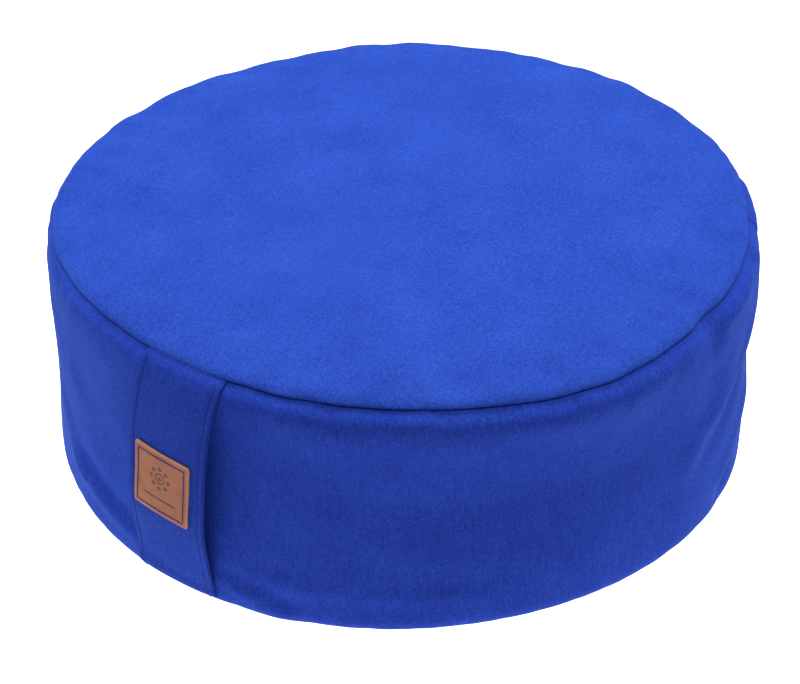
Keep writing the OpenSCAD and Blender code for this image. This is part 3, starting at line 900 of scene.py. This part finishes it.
hairline = 0.05 * mm / cushion["midRadius"]
zipStart = cushion["zipAngle"] - cushion["zipArc"] / 2
zipEnd = cushion["zipAngle"] + cushion["zipArc"] / 2
makeWall("coverSideBand", "cover_side_band", zipEnd + hairline, zipStart - hairline + 2 * math.pi,
         wall["columns"], wall["rows"], "seam", "seam")
makeWall("zipUpperStripCloth", "zip_upper_strip", zipStart + hairline, zipEnd - hairline,
         wall["stripColumns"], wall["stripRows"], "seam", zipMiddle + zipWindow)
makeWall("zipLowerStripCloth", "zip_lower_strip", zipStart + hairline, zipEnd - hairline,
         wall["stripColumns"], wall["stripRows"], zipMiddle - zipWindow, "seam")
print("wall made")

bottomPanel = {
    "cells": 48,
    "discIn": 9 * mm,
    "cap": 2 * mm,
    # mm in from the hidden seam, and height in mm
    "rim": ((-6.5, 0.15), (-3.6, 0.8), (-1.9, 1.7), (-1.0, 2.7), (-1.1, 3.4), (-1.8, 4.4)),
}


def makeBottomPanel(settings):
    share, angle = discGrid(settings["cells"])
    radius = share * (bottomSeamRadius(angle) - settings["discIn"])
    rings = [lambda a, i=i, u=u: (bottomSeamRadius(a) + i * mm, u * mm) for i, u in settings["rim"]]
    piece, held = discPiece("coverBottomPanel", settings["cells"],
                            (ringPlaces(radius, angle, 0 * radius), angle), rings, False)
    held[: len(radius)] = 1
    relaxCloth(piece, held, settings["cap"], 0)
    settled = vertexPlaces(piece.data)
    settled[:, 2] = np.maximum(settled[:, 2], 0)
    setVertexPlaces(piece.data, settled)
    giveThickness(piece)
    join(piece, "cover_bottom_panel", material=coverCloth)


makeBottomPanel(bottomPanel)
print("bottom panel made")

# stitches, seam thread and zip teeth: one small arched strand, repeated along a path


class Recipe:
    # a Geometry Nodes tree with named inputs
    def __init__(self, name, inputs):
        self.tree = bpy.data.node_groups.new(name, "GeometryNodeTree")
        face = self.tree.interface
        face.new_socket("Path", in_out="INPUT", socket_type="NodeSocketGeometry")
        for label, (kind, value) in inputs.items():
            socket = face.new_socket(label, in_out="INPUT", socket_type="NodeSocket" + kind)
            if value is not None:
                socket.default_value = value
        face.new_socket("Pieces", in_out="OUTPUT", socket_type="NodeSocketGeometry")
        self.given = self.tree.nodes.new("NodeGroupInput")

    def node(self, kind, settings=None, inputs=None, out=0):
        made = self.tree.nodes.new(kind)
        for key, value in (settings or {}).items():
            setattr(made, key, value)
        for key, value in (inputs or {}).items():
            if isinstance(value, bpy.types.NodeSocket):
                self.tree.links.new(value, made.inputs[key])
            else:
                made.inputs[key].default_value = value
        return made.outputs[out]

    def maths(self, operation, *values):
        return self.node("ShaderNodeMath", {"operation": operation}, dict(enumerate(values)))


def makeStrandRecipe():
    recipe = Recipe("repeatedStrands", {
        "Length": ("Float", 3 * mm),
        "Thickness": ("Float", 0.5 * mm),
        "Rise": ("Float", 0.3 * mm),
        "Head": ("Float", 0.0),
        "Loose Turn": ("Float", 0.05),
        "Seed": ("Int", 1),
        "Material": ("Material", None),
    })
    given = recipe.given.outputs
    half = recipe.maths("MULTIPLY", given["Length"], 0.5)
    start = recipe.node("ShaderNodeCombineXYZ", inputs={"X": recipe.maths("MULTIPLY", half, -1.0)})
    middle = recipe.node("ShaderNodeCombineXYZ", inputs={"Z": recipe.maths("MULTIPLY", given["Rise"], 2.0)})
    end = recipe.node("ShaderNodeCombineXYZ", inputs={"X": half})
    arch = recipe.node("GeometryNodeCurveQuadraticBezier",
                       inputs={"Resolution": 5, "Start": start, "Middle": middle, "End": end})
    place = recipe.node("GeometryNodeSplineParameter")
    fromMiddle = recipe.maths("ABSOLUTE", recipe.maths("MULTIPLY_ADD", place, 2.0, -1.0))
    thinned = recipe.maths("MULTIPLY", recipe.maths("POWER", fromMiddle, 4.0), 0.35)
    taper = recipe.maths("SUBTRACT", 1.0, thinned)
    head = recipe.maths("MULTIPLY", given["Head"], recipe.maths("POWER", place, 3.0))
    headed = recipe.maths("ADD", taper, head)
    shaped = recipe.node("GeometryNodeSetCurveRadius", inputs={"Curve": arch, "Radius": headed})
    section = recipe.node("GeometryNodeCurvePrimitiveCircle", {"mode": "RADIUS"}, {
        "Resolution": 6, "Radius": recipe.maths("MULTIPLY", given["Thickness"], 0.5)})
    strand = recipe.node("GeometryNodeCurveToMesh", inputs={"Curve": shaped, "Profile Curve": section,
                                                            "Fill Caps": True})
    along, outwards = (recipe.node("GeometryNodeInputNamedAttribute", {"data_type": "FLOAT_VECTOR"},
                                   {"Name": label}) for label in ("along", "outwards"))
    facing = recipe.node("FunctionNodeAlignRotationToVector", {"axis": "X"}, {"Vector": along})
    upright = recipe.node("FunctionNodeAlignRotationToVector", {"axis": "Z", "pivot_axis": "X"},
                          {"Rotation": facing, "Vector": outwards})
    looseAngle = recipe.node("FunctionNodeRandomValue", {"data_type": "FLOAT"}, {
        "Min": recipe.maths("MULTIPLY", given["Loose Turn"], -1.0), "Max": given["Loose Turn"],
        "Seed": given["Seed"]}, out=1)
    loose = recipe.node("FunctionNodeAxisAngleToRotation", inputs={"Axis": (0, 0, 1), "Angle": looseAngle})
    turned = recipe.node("FunctionNodeRotateRotation", {"rotation_space": "LOCAL"},
                         {"Rotation": upright, "Rotate By": loose})
    placed = recipe.node("GeometryNodeInstanceOnPoints",
                         inputs={"Points": given["Path"], "Instance": strand, "Rotation": turned})
    whole = recipe.node("GeometryNodeRealizeInstances", inputs={"Geometry": placed})
    smooth = recipe.node("GeometryNodeSetShadeSmooth", inputs={"Geometry": whole})
    painted = recipe.node("GeometryNodeSetMaterial",
                          inputs={"Geometry": smooth, "Material": given["Material"]})
    result = recipe.tree.nodes.new("NodeGroupOutput")
    recipe.tree.links.new(painted, result.inputs["Pieces"])
    return recipe.tree


strandRecipe = makeStrandRecipe()


def repeatStrands(name, places, along, outwards, values, material):
    # places a strand at every point, lying along one direction and arched towards another
    path = bpy.data.meshes.new(name + "Path")
    path.from_pydata([tuple(p) for p in places], [], [])
    for label, vectors in (("along", along), ("outwards", outwards)):
        layer = path.attributes.new(label, "FLOAT_VECTOR", "POINT")
        layer.data.foreach_set("vector", np.asarray(vectors, float).ravel())
    piece = addObject(name, path)
    maker = piece.modifiers.new("strands", "NODES")
    maker.node_group = strandRecipe
    chosen = dict(values, Material=material)
    for socket in strandRecipe.interface.items_tree:
        if socket.in_out == "INPUT" and socket.name in chosen:
            maker[socket.identifier] = chosen[socket.name]
    shaped = piece.evaluated_get(bpy.context.evaluated_depsgraph_get())
    mesh = bpy.data.meshes.new_from_object(shaped)
    piece.modifiers.remove(maker)
    piece.data = mesh
    return piece


def unit(vectors):
    return vectors / np.linalg.norm(vectors, axis=-1, keepdims=True)


def pathStitches(points, outwards, pitch, closed=False):
    # evenly spaced places along a path, with its directions there
    if closed:
        points, outwards = np.vstack([points, points[:1]]), np.vstack([outwards, outwards[:1]])
    travelled = np.concatenate([[0], np.cumsum(np.linalg.norm(np.diff(points, axis=0), axis=1))])
    count = int(travelled[-1] / pitch)
    where = (np.arange(count) + 0.5) * travelled[-1] / count

    def at(travel, values):
        return np.stack([np.interp(travel, travelled, values[:, k]) for k in range(3)], 1)
    ahead = at(where + 0.1 * mm, points) - at(where - 0.1 * mm, points)
    return at(where, points), unit(ahead), unit(at(where, outwards))


def sew(name, node, paths, settings, thread, closed=False):
    # a row of stitches along each path, given as its points and the directions outwards there
    rows = [pathStitches(points, outwards, settings["pitch"], closed) for points, outwards in paths]
    places, along, out = (np.concatenate(parts) for parts in zip(*rows))
    join(repeatStrands(name, places, along, out, settings, thread), node)


def raisedPath(place, lift):
    # a path over a face, from a function of the height over it
    points = place(lift)
    return points, unit(place(lift + 1 * mm) - points)


seamSewing = {"pitch": 3.0 * mm, "Length": 2.9 * mm, "Thickness": 0.45 * mm, "Rise": 0.1 * mm,
              "Loose Turn": 0.02, "Seed": 3, "topIn": 2.9 * mm, "topDown": 0.45 * mm,
              "bottomIn": 2.2 * mm, "bottomUp": 1.7 * mm}


def makeSeamThread(name, node, radius, height, settings, thread):
    angles = np.linspace(0, 2 * math.pi, 720, endpoint=False)
    points = ringPlaces(radius(angles), angles, height(angles))
    sew(name, node, [(points, ringPlaces(1 + 0 * angles, angles, 0))], settings, thread, closed=True)


makeSeamThread("topSeamThread", "cover_top_seam_thread",
               lambda a: topSeamRadius(a) - seamSewing["topIn"],
               lambda a: topSeamHeight(a) - seamSewing["topDown"],
               seamSewing, blueThread)
makeSeamThread("bottomSeamThread", "cover_bottom_seam_thread",
               lambda a: bottomSeamRadius(a) - seamSewing["bottomIn"],
               lambda a: cushion["underSeam"] + seamSewing["bottomUp"] + 0 * a,
               seamSewing, blueThread)
print("seam thread made")

# the inner bag and the filling follow the cover closely, so they take their shape from it
nested = {
    "cells": 40,
    "bagThick": 0.5 * mm,
    "bagDrop": 3.4 * mm,
    "bagIn": 10.5 * mm,
    # the bag top's edge: mm out from its disc, and mm further down
    "bagEdge": ((0.9, 1.0), (1.2, 2.2), (0.6, 4.0), (0.2, 12.0)),
    "wallIn": 5.2 * mm,
    "wallLow": 3.4 * mm,
    "wallHigh": 144 * mm,
    "wallRows": 12,              # on each side of its zip
    "wallColumns": 240,
    "wallBulge": 3 * mm,
    "wallTurnIn": 7 * mm,        # how far it turns in, over the lowest part of its height
    "wallTurnHigh": 12 * mm,
    "zipArc": math.radians(60),  # the bag's zip faces the handle
    "seamIn": 1.5 * mm,          # from the bag's wall to the thread of its top seam
    "seamDrop": 3 * mm,
    "fillDrop": 4.9 * mm,
    "fillIn": 9.5 * mm,
    "fillRimDrop": 1.5 * mm,
    # the filling's side: mm in from its top's edge, and height in mm
    "fillSide": ((-1.4, 141), (-2.2, 136), (-2.4, 110), (-2.4, 80), (-2.4, 50), (-1.6, 22), (0.0, 11),
                 (3.0, 5.5), (7.5, 3.2)),
    "fillFloor": 2.6 * mm,
    "fillFloorIn": 9 * mm,
    "grainSize": 4 * mm,
    "grainHeight": 0.5 * mm,
}


def topSurface(radius, angle, drop):
    # the cover's outer top face before its cloth is relaxed, lowered by a drop
    share = np.clip(radius / (topSeamRadius(angle) + rolledTop[-1][0] * mm), 0, 1)
    return domeHeight(share, angle) - drop


def makeBagTop(settings):
    share, angle = discGrid(settings["cells"])
    edge = cushion["seamRadius"] - settings["bagIn"]
    drop = settings["bagDrop"]
    radius = share * edge
    disc = ringPlaces(radius, angle, topSurface(radius, angle, drop))
    rings = [lambda a, i=i, d=d: (edge + i * mm + 0 * a, topSurface(edge + 0 * a, a, drop + d * mm))
             for i, d in settings["bagEdge"]]
    piece = discPiece("bagTopPanel", settings["cells"], (disc, angle), rings, True)[0]
    giveThickness(piece, settings["bagThick"])
    join(piece, "bag_top_panel", material=rawCotton)


def makeFilling(settings):
    # a closed form whose surface shows the loose hulls
    cells = settings["cells"]
    share, angle = discGrid(cells)
    edge = cushion["seamRadius"] - settings["fillIn"]
    radius = share * edge
    height = topSurface(radius, angle, settings["fillDrop"]) - settings["fillRimDrop"] * share ** 12
    rings = [lambda a, i=i, z=z: (edge - i * mm + 0 * a, z * mm + 0 * a) for i, z in settings["fillSide"]]
    piece = discPiece("hullFilling", cells, (ringPlaces(radius, angle, height), angle), rings, True)[0]
    shape = bmesh.new()
    shape.from_mesh(piece.data)
    shape.verts.ensure_lookup_table()
    rim = discRing(cells)
    last = list(shape.verts)[-len(rim):]
    under = ringPlaces(share * (edge - settings["fillFloorIn"]), angle, settings["fillFloor"])
    base = [shape.verts.new(place) for place in under]
    floor = [[base[i] for i in face] for face in gridFaces(cells + 1, cells + 1, flip=True)]
    for face in floor + bandFaces(last, [base[i] for i in rim]):
        shape.faces.new(face).smooth = True
    shape.to_mesh(piece.data)
    shape.free()
    piece.data.uv_layers.remove(piece.data.uv_layers[0])
    roundOff(piece, 2)
    grains = bpy.data.textures.new("hullGrains", "VORONOI")
    grains.noise_scale = settings["grainSize"]
    bumps = piece.modifiers.new("hulls", "DISPLACE")
    bumps.texture = grains
    bumps.texture_coords = "LOCAL"
    bumps.strength = -settings["grainHeight"]
    bumps.mid_level = 0
    join(piece, "hull_fill", material=grainHulls)


def makeBagWall(settings):
    # one ring, open between two edges where the bag's zip lies
    columns, rows = settings["wallColumns"], settings["wallRows"]
    angles = np.linspace(0, 2 * math.pi, columns, endpoint=False)
    low, high = settings["wallLow"], settings["wallHigh"]
    heights = np.concatenate([np.linspace(low, zipMiddle - zipWindow, rows),
                              np.linspace(zipMiddle + zipWindow, high, rows)])
    places = []
    uvs = []
    for height in heights:
        share = (height - low) / (high - low)
        bulge = settings["wallBulge"] * (1 - abs(2 * share - 1) ** 3)
        turned = settings["wallTurnIn"] * max(0, 1 - (height - low) / settings["wallTurnHigh"]) ** 2
        radius = cushion["seamRadius"] - settings["wallIn"] + bulge - turned - waistIn(angles, 1 - share)
        places.append(ringPlaces(radius, angles, height))
        uvs.append(np.stack([angles * cushion["seamRadius"], height + 0 * angles], 1))
    faces = []
    for index, face in enumerate(gridFaces(len(heights), columns, closed=True)):
        row, column = divmod(index, columns)
        middle = (column + 0.5) * 2 * math.pi / columns
        if row != rows - 1 or abs(turnFrom(middle, handleAngle)) > settings["zipArc"] / 2:
            faces.append(face)
    piece = newPiece("bagSideWall", np.concatenate(places), faces, np.concatenate(uvs))
    giveThickness(piece, settings["bagThick"], 0)
    join(piece, "bag_side_band", material=rawCotton)
    inside = cushion["seamRadius"] - settings["wallIn"] - settings["seamIn"]
    makeSeamThread("bagTopSeamThread", "bag_top_seam_thread", lambda a: inside + 0 * a,
                   lambda a: high - settings["seamDrop"] + 0 * a, seamSewing, whiteThread)


makeBagTop(nested)
makeBagWall(nested)
makeFilling(nested)
print("inner bag and filling made")

# the handle

strap = {
    "width": 56.8 * mm,
    "thick": 1.8 * mm,
    "bow": 11.9 * mm,
    "bowPower": 2.64,
    "bowSkew": 0.83,           # under 1, the strap stands out most above its middle
    "topShift": 2.3,           # degrees that its upper end sits to the right of square
    "middleShift": -0.7,
    "bottomShift": -0.45,
    "edgeLift": 2.3 * mm,      # the right edge stands out more than the left one
    "footHeight": 4.4 * mm,
    "stitchInset": 4.2 * mm,
    "stitchDent": 0.2 * mm,
    "dentWide": 0.8 * mm,
    "puffInset": 2.0 * mm,     # the folded edge is puffed up between the stitching and the edge
    "puffWide": 1.4 * mm,
    "puffHigh": 0.12 * mm,
    "ruckHigh": 0.12 * mm,
    "length": 142 * mm,
    "standOff": 10 * mm,       # how far out its width is bent round the cushion
    "footIn": 1.0 * mm,
    "overWall": 0.4 * mm,
    "tuck": 3.4 * mm,          # how far its ends go into the seams
    "sway": 0.35 * mm,
    "rows": 84,
}
strapSewing = {"pitch": 3.1 * mm, "Length": 2.7 * mm, "Thickness": 0.42 * mm, "Rise": 0.1 * mm,
               "Loose Turn": 0.07, "Seed": 5, "lift": 0.08 * mm, "start": 0.012, "end": 0.975}


def strapPoint(across, share, lift):
    # across in metres from the strap's middle, share 0 at the top seam to 1 at the hidden one
    slant = strap["topShift"] * (1 - share) + strap["bottomShift"] * share
    middle = handleAngle + np.radians(slant + strap["middleShift"] * 4 * share * (1 - share))
    angle = middle + across / (cushion["midRadius"] + strap["standOff"])
    top, bottom = topSeamHeight(angle), strap["footHeight"]
    height = top + (bottom - top) * share
    bow = 1 - np.abs(2 * np.clip(share, 0, 1) ** strap["bowSkew"] - 1) ** strap["bowPower"]
    tilt = strap["edgeLift"] * across / (strap["width"] / 2)
    edge = topSeamRadius(angle) * (1 - share) + (cushion["seamRadius"] - strap["footIn"]) * share
    sway = ripple(share * 2 * math.pi, (2, 3), strap["sway"], 31) * bow
    tuck = strap["tuck"] * (hump(share, 0, 0.012) + hump(share, 1, 0.03))
    free = edge + strap["bow"] * bow + tilt * bow + sway
    atFoot = easeIn(4 * share - 3)
    radius = np.maximum(free, wallFace(angle, height) * atFoot + free * (1 - atFoot))
    return ringPlaces(radius + strap["overWall"] + lift - tuck, angle, height)


def strapFace(across, share):
    # height of the outer ply over the strap's inner face, dented along the stitching
    inset = strap["width"] / 2 - np.abs(across)
    dent = hump(inset, strap["stitchInset"], strap["dentWide"])
    puff = strap["puffHigh"] * hump(inset, strap["puffInset"], strap["puffWide"])
    puckers = 0.5 + 0.5 * np.cos(share * strap["length"] / strapSewing["pitch"] * 2 * math.pi)
    ruck = strap["ruckHigh"] * np.sin(across / (7.3 * mm) + 9 * share)
    ruck = ruck * np.sin(share * 17 + across / (21 * mm))
    return strap["thick"] + puff - strap["stitchDent"] * dent * (0.7 + 0.3 * puckers) + ruck


# the strap's edge, from its outer face to its inner one: mm in from the edge, and height in mm.
# Two folded plies lie together, so the edge has a groove along it
foldedEdges = ((0.72, 1.8), (0.50, 1.70), (0.36, 1.52), (0.32, 1.32), (0.40, 1.10), (0.72, 0.96),
               (0.75, 0.86), (0.28, 0.76), (0.04, 0.58), (0.0, 0.40), (0.10, 0.18), (0.34, 0.03), (0.8, 0.0))


def makeStrap(settings):
    half = settings["width"] / 2
    fine = np.array([1.1, 1.7, 2.4, 3.1, 3.6, 4.2, 4.8, 5.4, 6.4, 8, 10.5, 14, 18, 23]) * mm
    outer = np.concatenate([-half + fine, [0], (half - fine)[::-1]])
    inset, edgeHeight = (np.array(v) * mm for v in zip(*foldedEdges))
    inner = outer[::-2]
    across = np.concatenate([outer, half - inset, inner, (inset - half)[::-1]])
    flat = np.concatenate([0 * outer, edgeHeight, 0 * inner, edgeHeight[::-1]])
    onFace = np.arange(len(across)) < len(outer)
    shares = np.concatenate([np.linspace(-0.004, 0.02, 6)[:-1], np.linspace(0.02, 0.98, settings["rows"]),
                             np.linspace(0.98, 1.0, 5)[1:]])
    count = len(across)
    girth = across + np.cumsum(np.hypot(np.diff(across, prepend=across[0]), np.diff(flat, prepend=flat[0])))
    places = []
    uvs = []
    for share in shares:
        level = np.full(count, share)
        places.append(strapPoint(across, level, np.where(onFace, strapFace(across, level), flat)))
        uvs.append(np.stack([np.where(onFace, across, girth), level * -settings["length"]], 1))
    faces = gridFaces(len(shares), count, closed=True, flip=True)
    faces.append(list(range(count)))
    faces.append(list(range((len(shares) - 1) * count, len(shares) * count))[::-1])
    piece = newPiece("handleStrap", np.concatenate(places), faces, np.concatenate(uvs))
    roundOff(piece)
    join(piece, "handle_strap", material=strapClothPaintedShade)


def makeStrapStitches(settings):
    shares = np.linspace(settings["start"], settings["end"], 300)
    paths = []
    for side in (-1, 1):
        across = np.full(len(shares), side * (strap["width"] / 2 - strap["stitchInset"]))
        paths.append(raisedPath(lambda lift: strapPoint(across, shares, lift),
                                strapFace(across, shares) + settings["lift"]))
    sew("handleStitches", "handle_topstitch", paths, settings, blueThread)


makeStrap(strap)
makeStrapStitches(strapSewing)
print("handle made")

# the leather patch on the handle

patchLow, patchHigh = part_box("leather_patch")
patch = {
    "side": patchHigh.z - patchLow.z,
    "middle": (patchHigh.z + patchLow.z) / 2,
    "shift": -1.15 * mm,
    "turn": math.radians(-0.6),
    "corner": 1.2 * mm,
    "thick": 1.5 * mm,
    "bevel": 0.8 * mm,
    "stitchInset": 2.9 * mm,
    "stitchCorner": 0.8 * mm,
    "cells": 150,
    "overStrap": 0.05 * mm,
    "pressDepth": 0.32 * mm,
    "seamDent": 0.16 * mm,
    "dentWide": 0.55 * mm,
    "wornWide": 0.55 * mm,
    "ruckHigh": 0.08 * mm,
    "petals": 8,
    "markMiddle": 4.2 * mm,     # height of the mark above the patch's middle
    "ringSize": 6.3 * mm,
    "dotSize": 1.35 * mm,
    "circleSize": 3.1 * mm,
    "circleWide": 0.45 * mm,    # half of the circle's line
    "coreSize": 1.3 * mm,
    "lineWide": 0.6 * mm,       # and half of the plain line
    "markSoft": 0.07 * mm,
    "lineDrop": 9.2 * mm,       # how far the plain line lies below the middle
    "lineHalf": 11.5 * mm,
}
patchSewing = {"pitch": 2.9 * mm, "Length": 2.5 * mm, "Thickness": 0.5 * mm, "Rise": 0.14 * mm,
               "Loose Turn": 0.06, "Seed": 8, "sink": 0.02 * mm}


def insideEdge(x, y, half, corner):
    # distance in from the rounded square's edge
    dx, dy = np.abs(x) - (half - corner), np.abs(y) - (half - corner)
    outside = np.hypot(np.maximum(dx, 0), np.maximum(dy, 0))
    return corner - outside - np.minimum(np.maximum(dx, dy), 0)


def patchPlace(x, y, lift):
    # x and y on the patch, in metres from its middle
    turn = patch["turn"]
    across = patch["shift"] + x * math.cos(turn) - y * math.sin(turn)
    height = patch["middle"] + x * math.sin(turn) + y * math.cos(turn)
    top = cushion["topSeam"]
    share = (top - height) / (top - strap["footHeight"])
    return strapPoint(across, share, strapFace(0 * across, share) + patch["overStrap"] + lift)


def softStep(value, edge, soft):
    return 1 / (1 + np.exp(-(edge - value) / soft))


def pressedMark(x, y):
    # a ring of round dots about a circle, over a plain line
    soft = patch["markSoft"]
    turn = np.arctan2(y - patch["markMiddle"], x)
    step = 2 * math.pi / patch["petals"]
    nearest = np.round(turn / step) * step
    dotX = patch["ringSize"] * np.cos(nearest)
    dotY = patch["ringSize"] * np.sin(nearest) + patch["markMiddle"]
    dots = softStep(np.hypot(x - dotX, y - dotY), patch["dotSize"], soft)
    centre = np.hypot(x, y - patch["markMiddle"])
    ring = softStep(np.abs(centre - patch["circleSize"]), patch["circleWide"], soft)
    core = softStep(centre, patch["coreSize"], soft)
    line = softStep(np.abs(y + patch["lineDrop"]), patch["lineWide"], soft)
    line = line * softStep(np.abs(x), patch["lineHalf"], soft)
    return np.maximum.reduce([dots, ring, core, line])


def makePatch(settings):
    half, corner, n = settings["side"] / 2, settings["corner"], settings["cells"] + 1
    line = np.linspace(-half, half, n)
    x, y = (a.ravel() for a in np.meshgrid(line, line))
    dx, dy = np.abs(x) - (half - corner), np.abs(y) - (half - corner)
    rounded = (dx > 0) & (dy > 0)
    pull = np.where(rounded, np.maximum(dx, dy) / np.maximum(np.hypot(dx, dy), 1e-12), 1)
    x = np.where(rounded, np.sign(x) * (half - corner + dx * pull), x)
    y = np.where(rounded, np.sign(y) * (half - corner + dy * pull), y)
    inset = insideEdge(x, y, half, corner)
    pressed = pressedMark(x, y)
    rim = np.clip(1 - inset / settings["bevel"], 0, 1)
    lift = settings["thick"] - settings["bevel"] * 0.75 * (1 - np.sqrt(1 - rim ** 2 * 0.98))
    lift = lift - settings["pressDepth"] * pressed
    lift = lift - settings["seamDent"] * hump(inset, settings["stitchInset"], settings["dentWide"])
    lift = lift + settings["ruckHigh"] * np.sin(x / (5.3 * mm) + 1) * np.cos(y / (6.7 * mm))
    top = patchPlace(x, y, lift)
    faces = gridFaces(n, n)
    edge = discRing(settings["cells"])
    start = len(top)
    sides, below = [], edge
    for drop in (0.45, 0.8, 1.0):
        sides.append(patchPlace(x[edge], y[edge], lift[edge] * (1 - drop)))
        new = list(range(start, start + len(edge)))
        start += len(edge)
        faces += bandFaces(below, new)
        below = new
    faces.append(below[::-1])
    piece = newPiece("leatherPatch", np.concatenate([top] + sides), faces)
    worn = hump(inset, 0, settings["wornWide"])
    for label, onTop, onSide in (("pressed", pressed, 0), ("worn", worn, 0.8)):
        values = np.concatenate([onTop, np.full(start - len(top), float(onSide))])
        piece.data.attributes.new(label, "FLOAT", "POINT").data.foreach_set("value", values)
    join(piece, "leather_patch", material=tanLeather)


def makePatchStitches(settings):
    half, corner = patch["side"] / 2 - patch["stitchInset"], patch["stitchCorner"]
    x, y = [], []
    for quarter in range(4):
        turn = quarter * math.pi / 2
        arc = np.radians(np.arange(0, 91, 15)) + turn
        cx = (half - corner) * (1 if quarter in (0, 3) else -1)
        cy = (half - corner) * (1 if quarter in (0, 1) else -1)
        x += list(cx + corner * np.cos(arc))
        y += list(cy + corner * np.sin(arc))
    corners = np.array(x + x[:1]), np.array(y + y[:1])
    steps = np.arange(0, len(x), 0.125)
    x, y = (np.interp(steps, np.arange(len(c)), c) for c in corners)
    path = raisedPath(lambda lift: patchPlace(x, y, lift), patch["thick"] - settings["sink"])
    sew("patchStitches", "patch_stitching", [path], settings, blueThread, closed=True)


makePatch(patch)
makePatchStitches(patchSewing)
print("patch made")

# the cover's zip

zipRow = {
    "tapeFace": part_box("zip_upper_tape")[1].y,
    "coilHigh": 1.5 * mm,
    "outerEdge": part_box("zip_upper_coil")[1].z - zipMiddle,
    "pitch": 1.3 * mm,
    "endGap": 4.6 * mm,         # from the tape's end to the first tooth
    "overlap": 0.15 * mm,       # how far the teeth of one side reach past the middle
    "toothOut": 0.5 * mm,       # from the tape's face
    "stitchOut": 7.6 * mm,
}
toothShape = {"Thickness": 0.95 * mm, "Rise": 0.42 * mm, "Head": 0.12, "Loose Turn": 0.0, "Seed": 1}
zipSewing = {"pitch": 3.0 * mm, "Length": 2.6 * mm, "Thickness": 0.42 * mm, "Rise": 0.12 * mm,
             "Loose Turn": 0.05, "Seed": 13, "lift": 0.05 * mm, "endTurn": 0.01}


def makeCoil(name, node, side, settings):
    reach = settings["outerEdge"] + settings["overlap"]
    step = settings["pitch"] / (settings["tapeFace"] + settings["coilHigh"] / 2)
    arc = cushion["zipArc"] - 2 * settings["endGap"] / cushion["midRadius"]
    count = int(arc / step)
    angles = cushion["zipAngle"] - arc / 2 + (np.arange(count) + (0.25 if side > 0 else 0.75)) * step
    radius = settings["tapeFace"] + settings["toothOut"] + 0 * angles
    middle = zipMiddle + side * (reach / 2 - settings["overlap"])
    places = ringPlaces(radius, angles, middle + 0 * angles)
    along = np.tile([0, 0, -side], (count, 1))
    outwards = ringPlaces(1 + 0 * angles, angles, 0)
    piece = repeatStrands(name, places, along, outwards, dict(toothShape, Length=reach), blueCoil)
    join(piece, node)


def makeZipStitches(settings):
    angles = np.linspace(zipStart + settings["endTurn"], zipEnd - settings["endTurn"], 600)
    paths = []
    for side in (-1, 1):
        height = zipMiddle + side * zipRow["stitchOut"] + 0 * angles
        points = ringPlaces(wallRadius(angles, height) + settings["lift"], angles, height)
        paths.append((points, ringPlaces(1 + 0 * angles, angles, 0)))
    sew("zipStitches", "zip_topstitch", paths, settings, blueThread)


def polishedCopy(name, node, body, material, rounding):
    # a CAD piece with its edges taken off
    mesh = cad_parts[node].data.copy()
    mesh.name = name
    shape = bmesh.new()
    shape.from_mesh(mesh)
    bmesh.ops.remove_doubles(shape, verts=shape.verts, dist=0.002 * mm)
    bmesh.ops.dissolve_limit(shape, angle_limit=math.radians(1.0), verts=shape.verts, edges=shape.edges)
    shape.to_mesh(mesh)
    shape.free()
    piece = addObject(name, mesh)
    mesh.polygons.foreach_set("use_smooth", [True] * len(mesh.polygons))
    bevel = piece.modifiers.new("roundedEdges", "BEVEL")
    bevel.width = rounding
    bevel.segments = 2
    bevel.limit_method = "ANGLE"
    bevel.angle_limit = math.radians(32)
    bevel.harden_normals = True
    return join(piece, node, body, material)


makeCoil("zipUpperCoilTeeth", "zip_upper_coil", 1, zipRow)
makeCoil("zipLowerCoilTeeth", "zip_lower_coil", -1, zipRow)
makeZipStitches(zipSewing)
polishedCopy("zipSliderBody", "zip_slider", "cover_slider", nickel, 0.18 * mm)
polishedCopy("zipPullTab", "zip_pull", "cover_pull", nickel, 0.16 * mm)
polishedCopy("zipTopStopPair", "zip_top_stops", "cushion", nickel, 0.2 * mm)
polishedCopy("zipEndStop", "zip_bottom_stop", "cushion", nickel, 0.2 * mm)
print("zip made")

# what stays from the frame: the tapes, the upright seams' thread, and the inner bag's base and zip

nodeFinish = {
    "zip_upper_tape": blueTape, "zip_lower_tape": blueTape, "cover_cross_seam_thread": blueThread,
    "bag_bottom_panel": rawCotton, "bag_bottom_seam_thread": whiteThread, "bag_zip_tapes": whiteTape,
    "bag_zip_coils": whiteCoil, "bag_zip_topstitch": whiteThread, "bag_zip_stops": nickel,
    "bag_zip_slider": nickel,
}
for name, finish in nodeFinish.items():
    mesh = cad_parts[name].data
    mesh.materials.clear()
    mesh.materials.append(finish)
print("frame nodes painted")
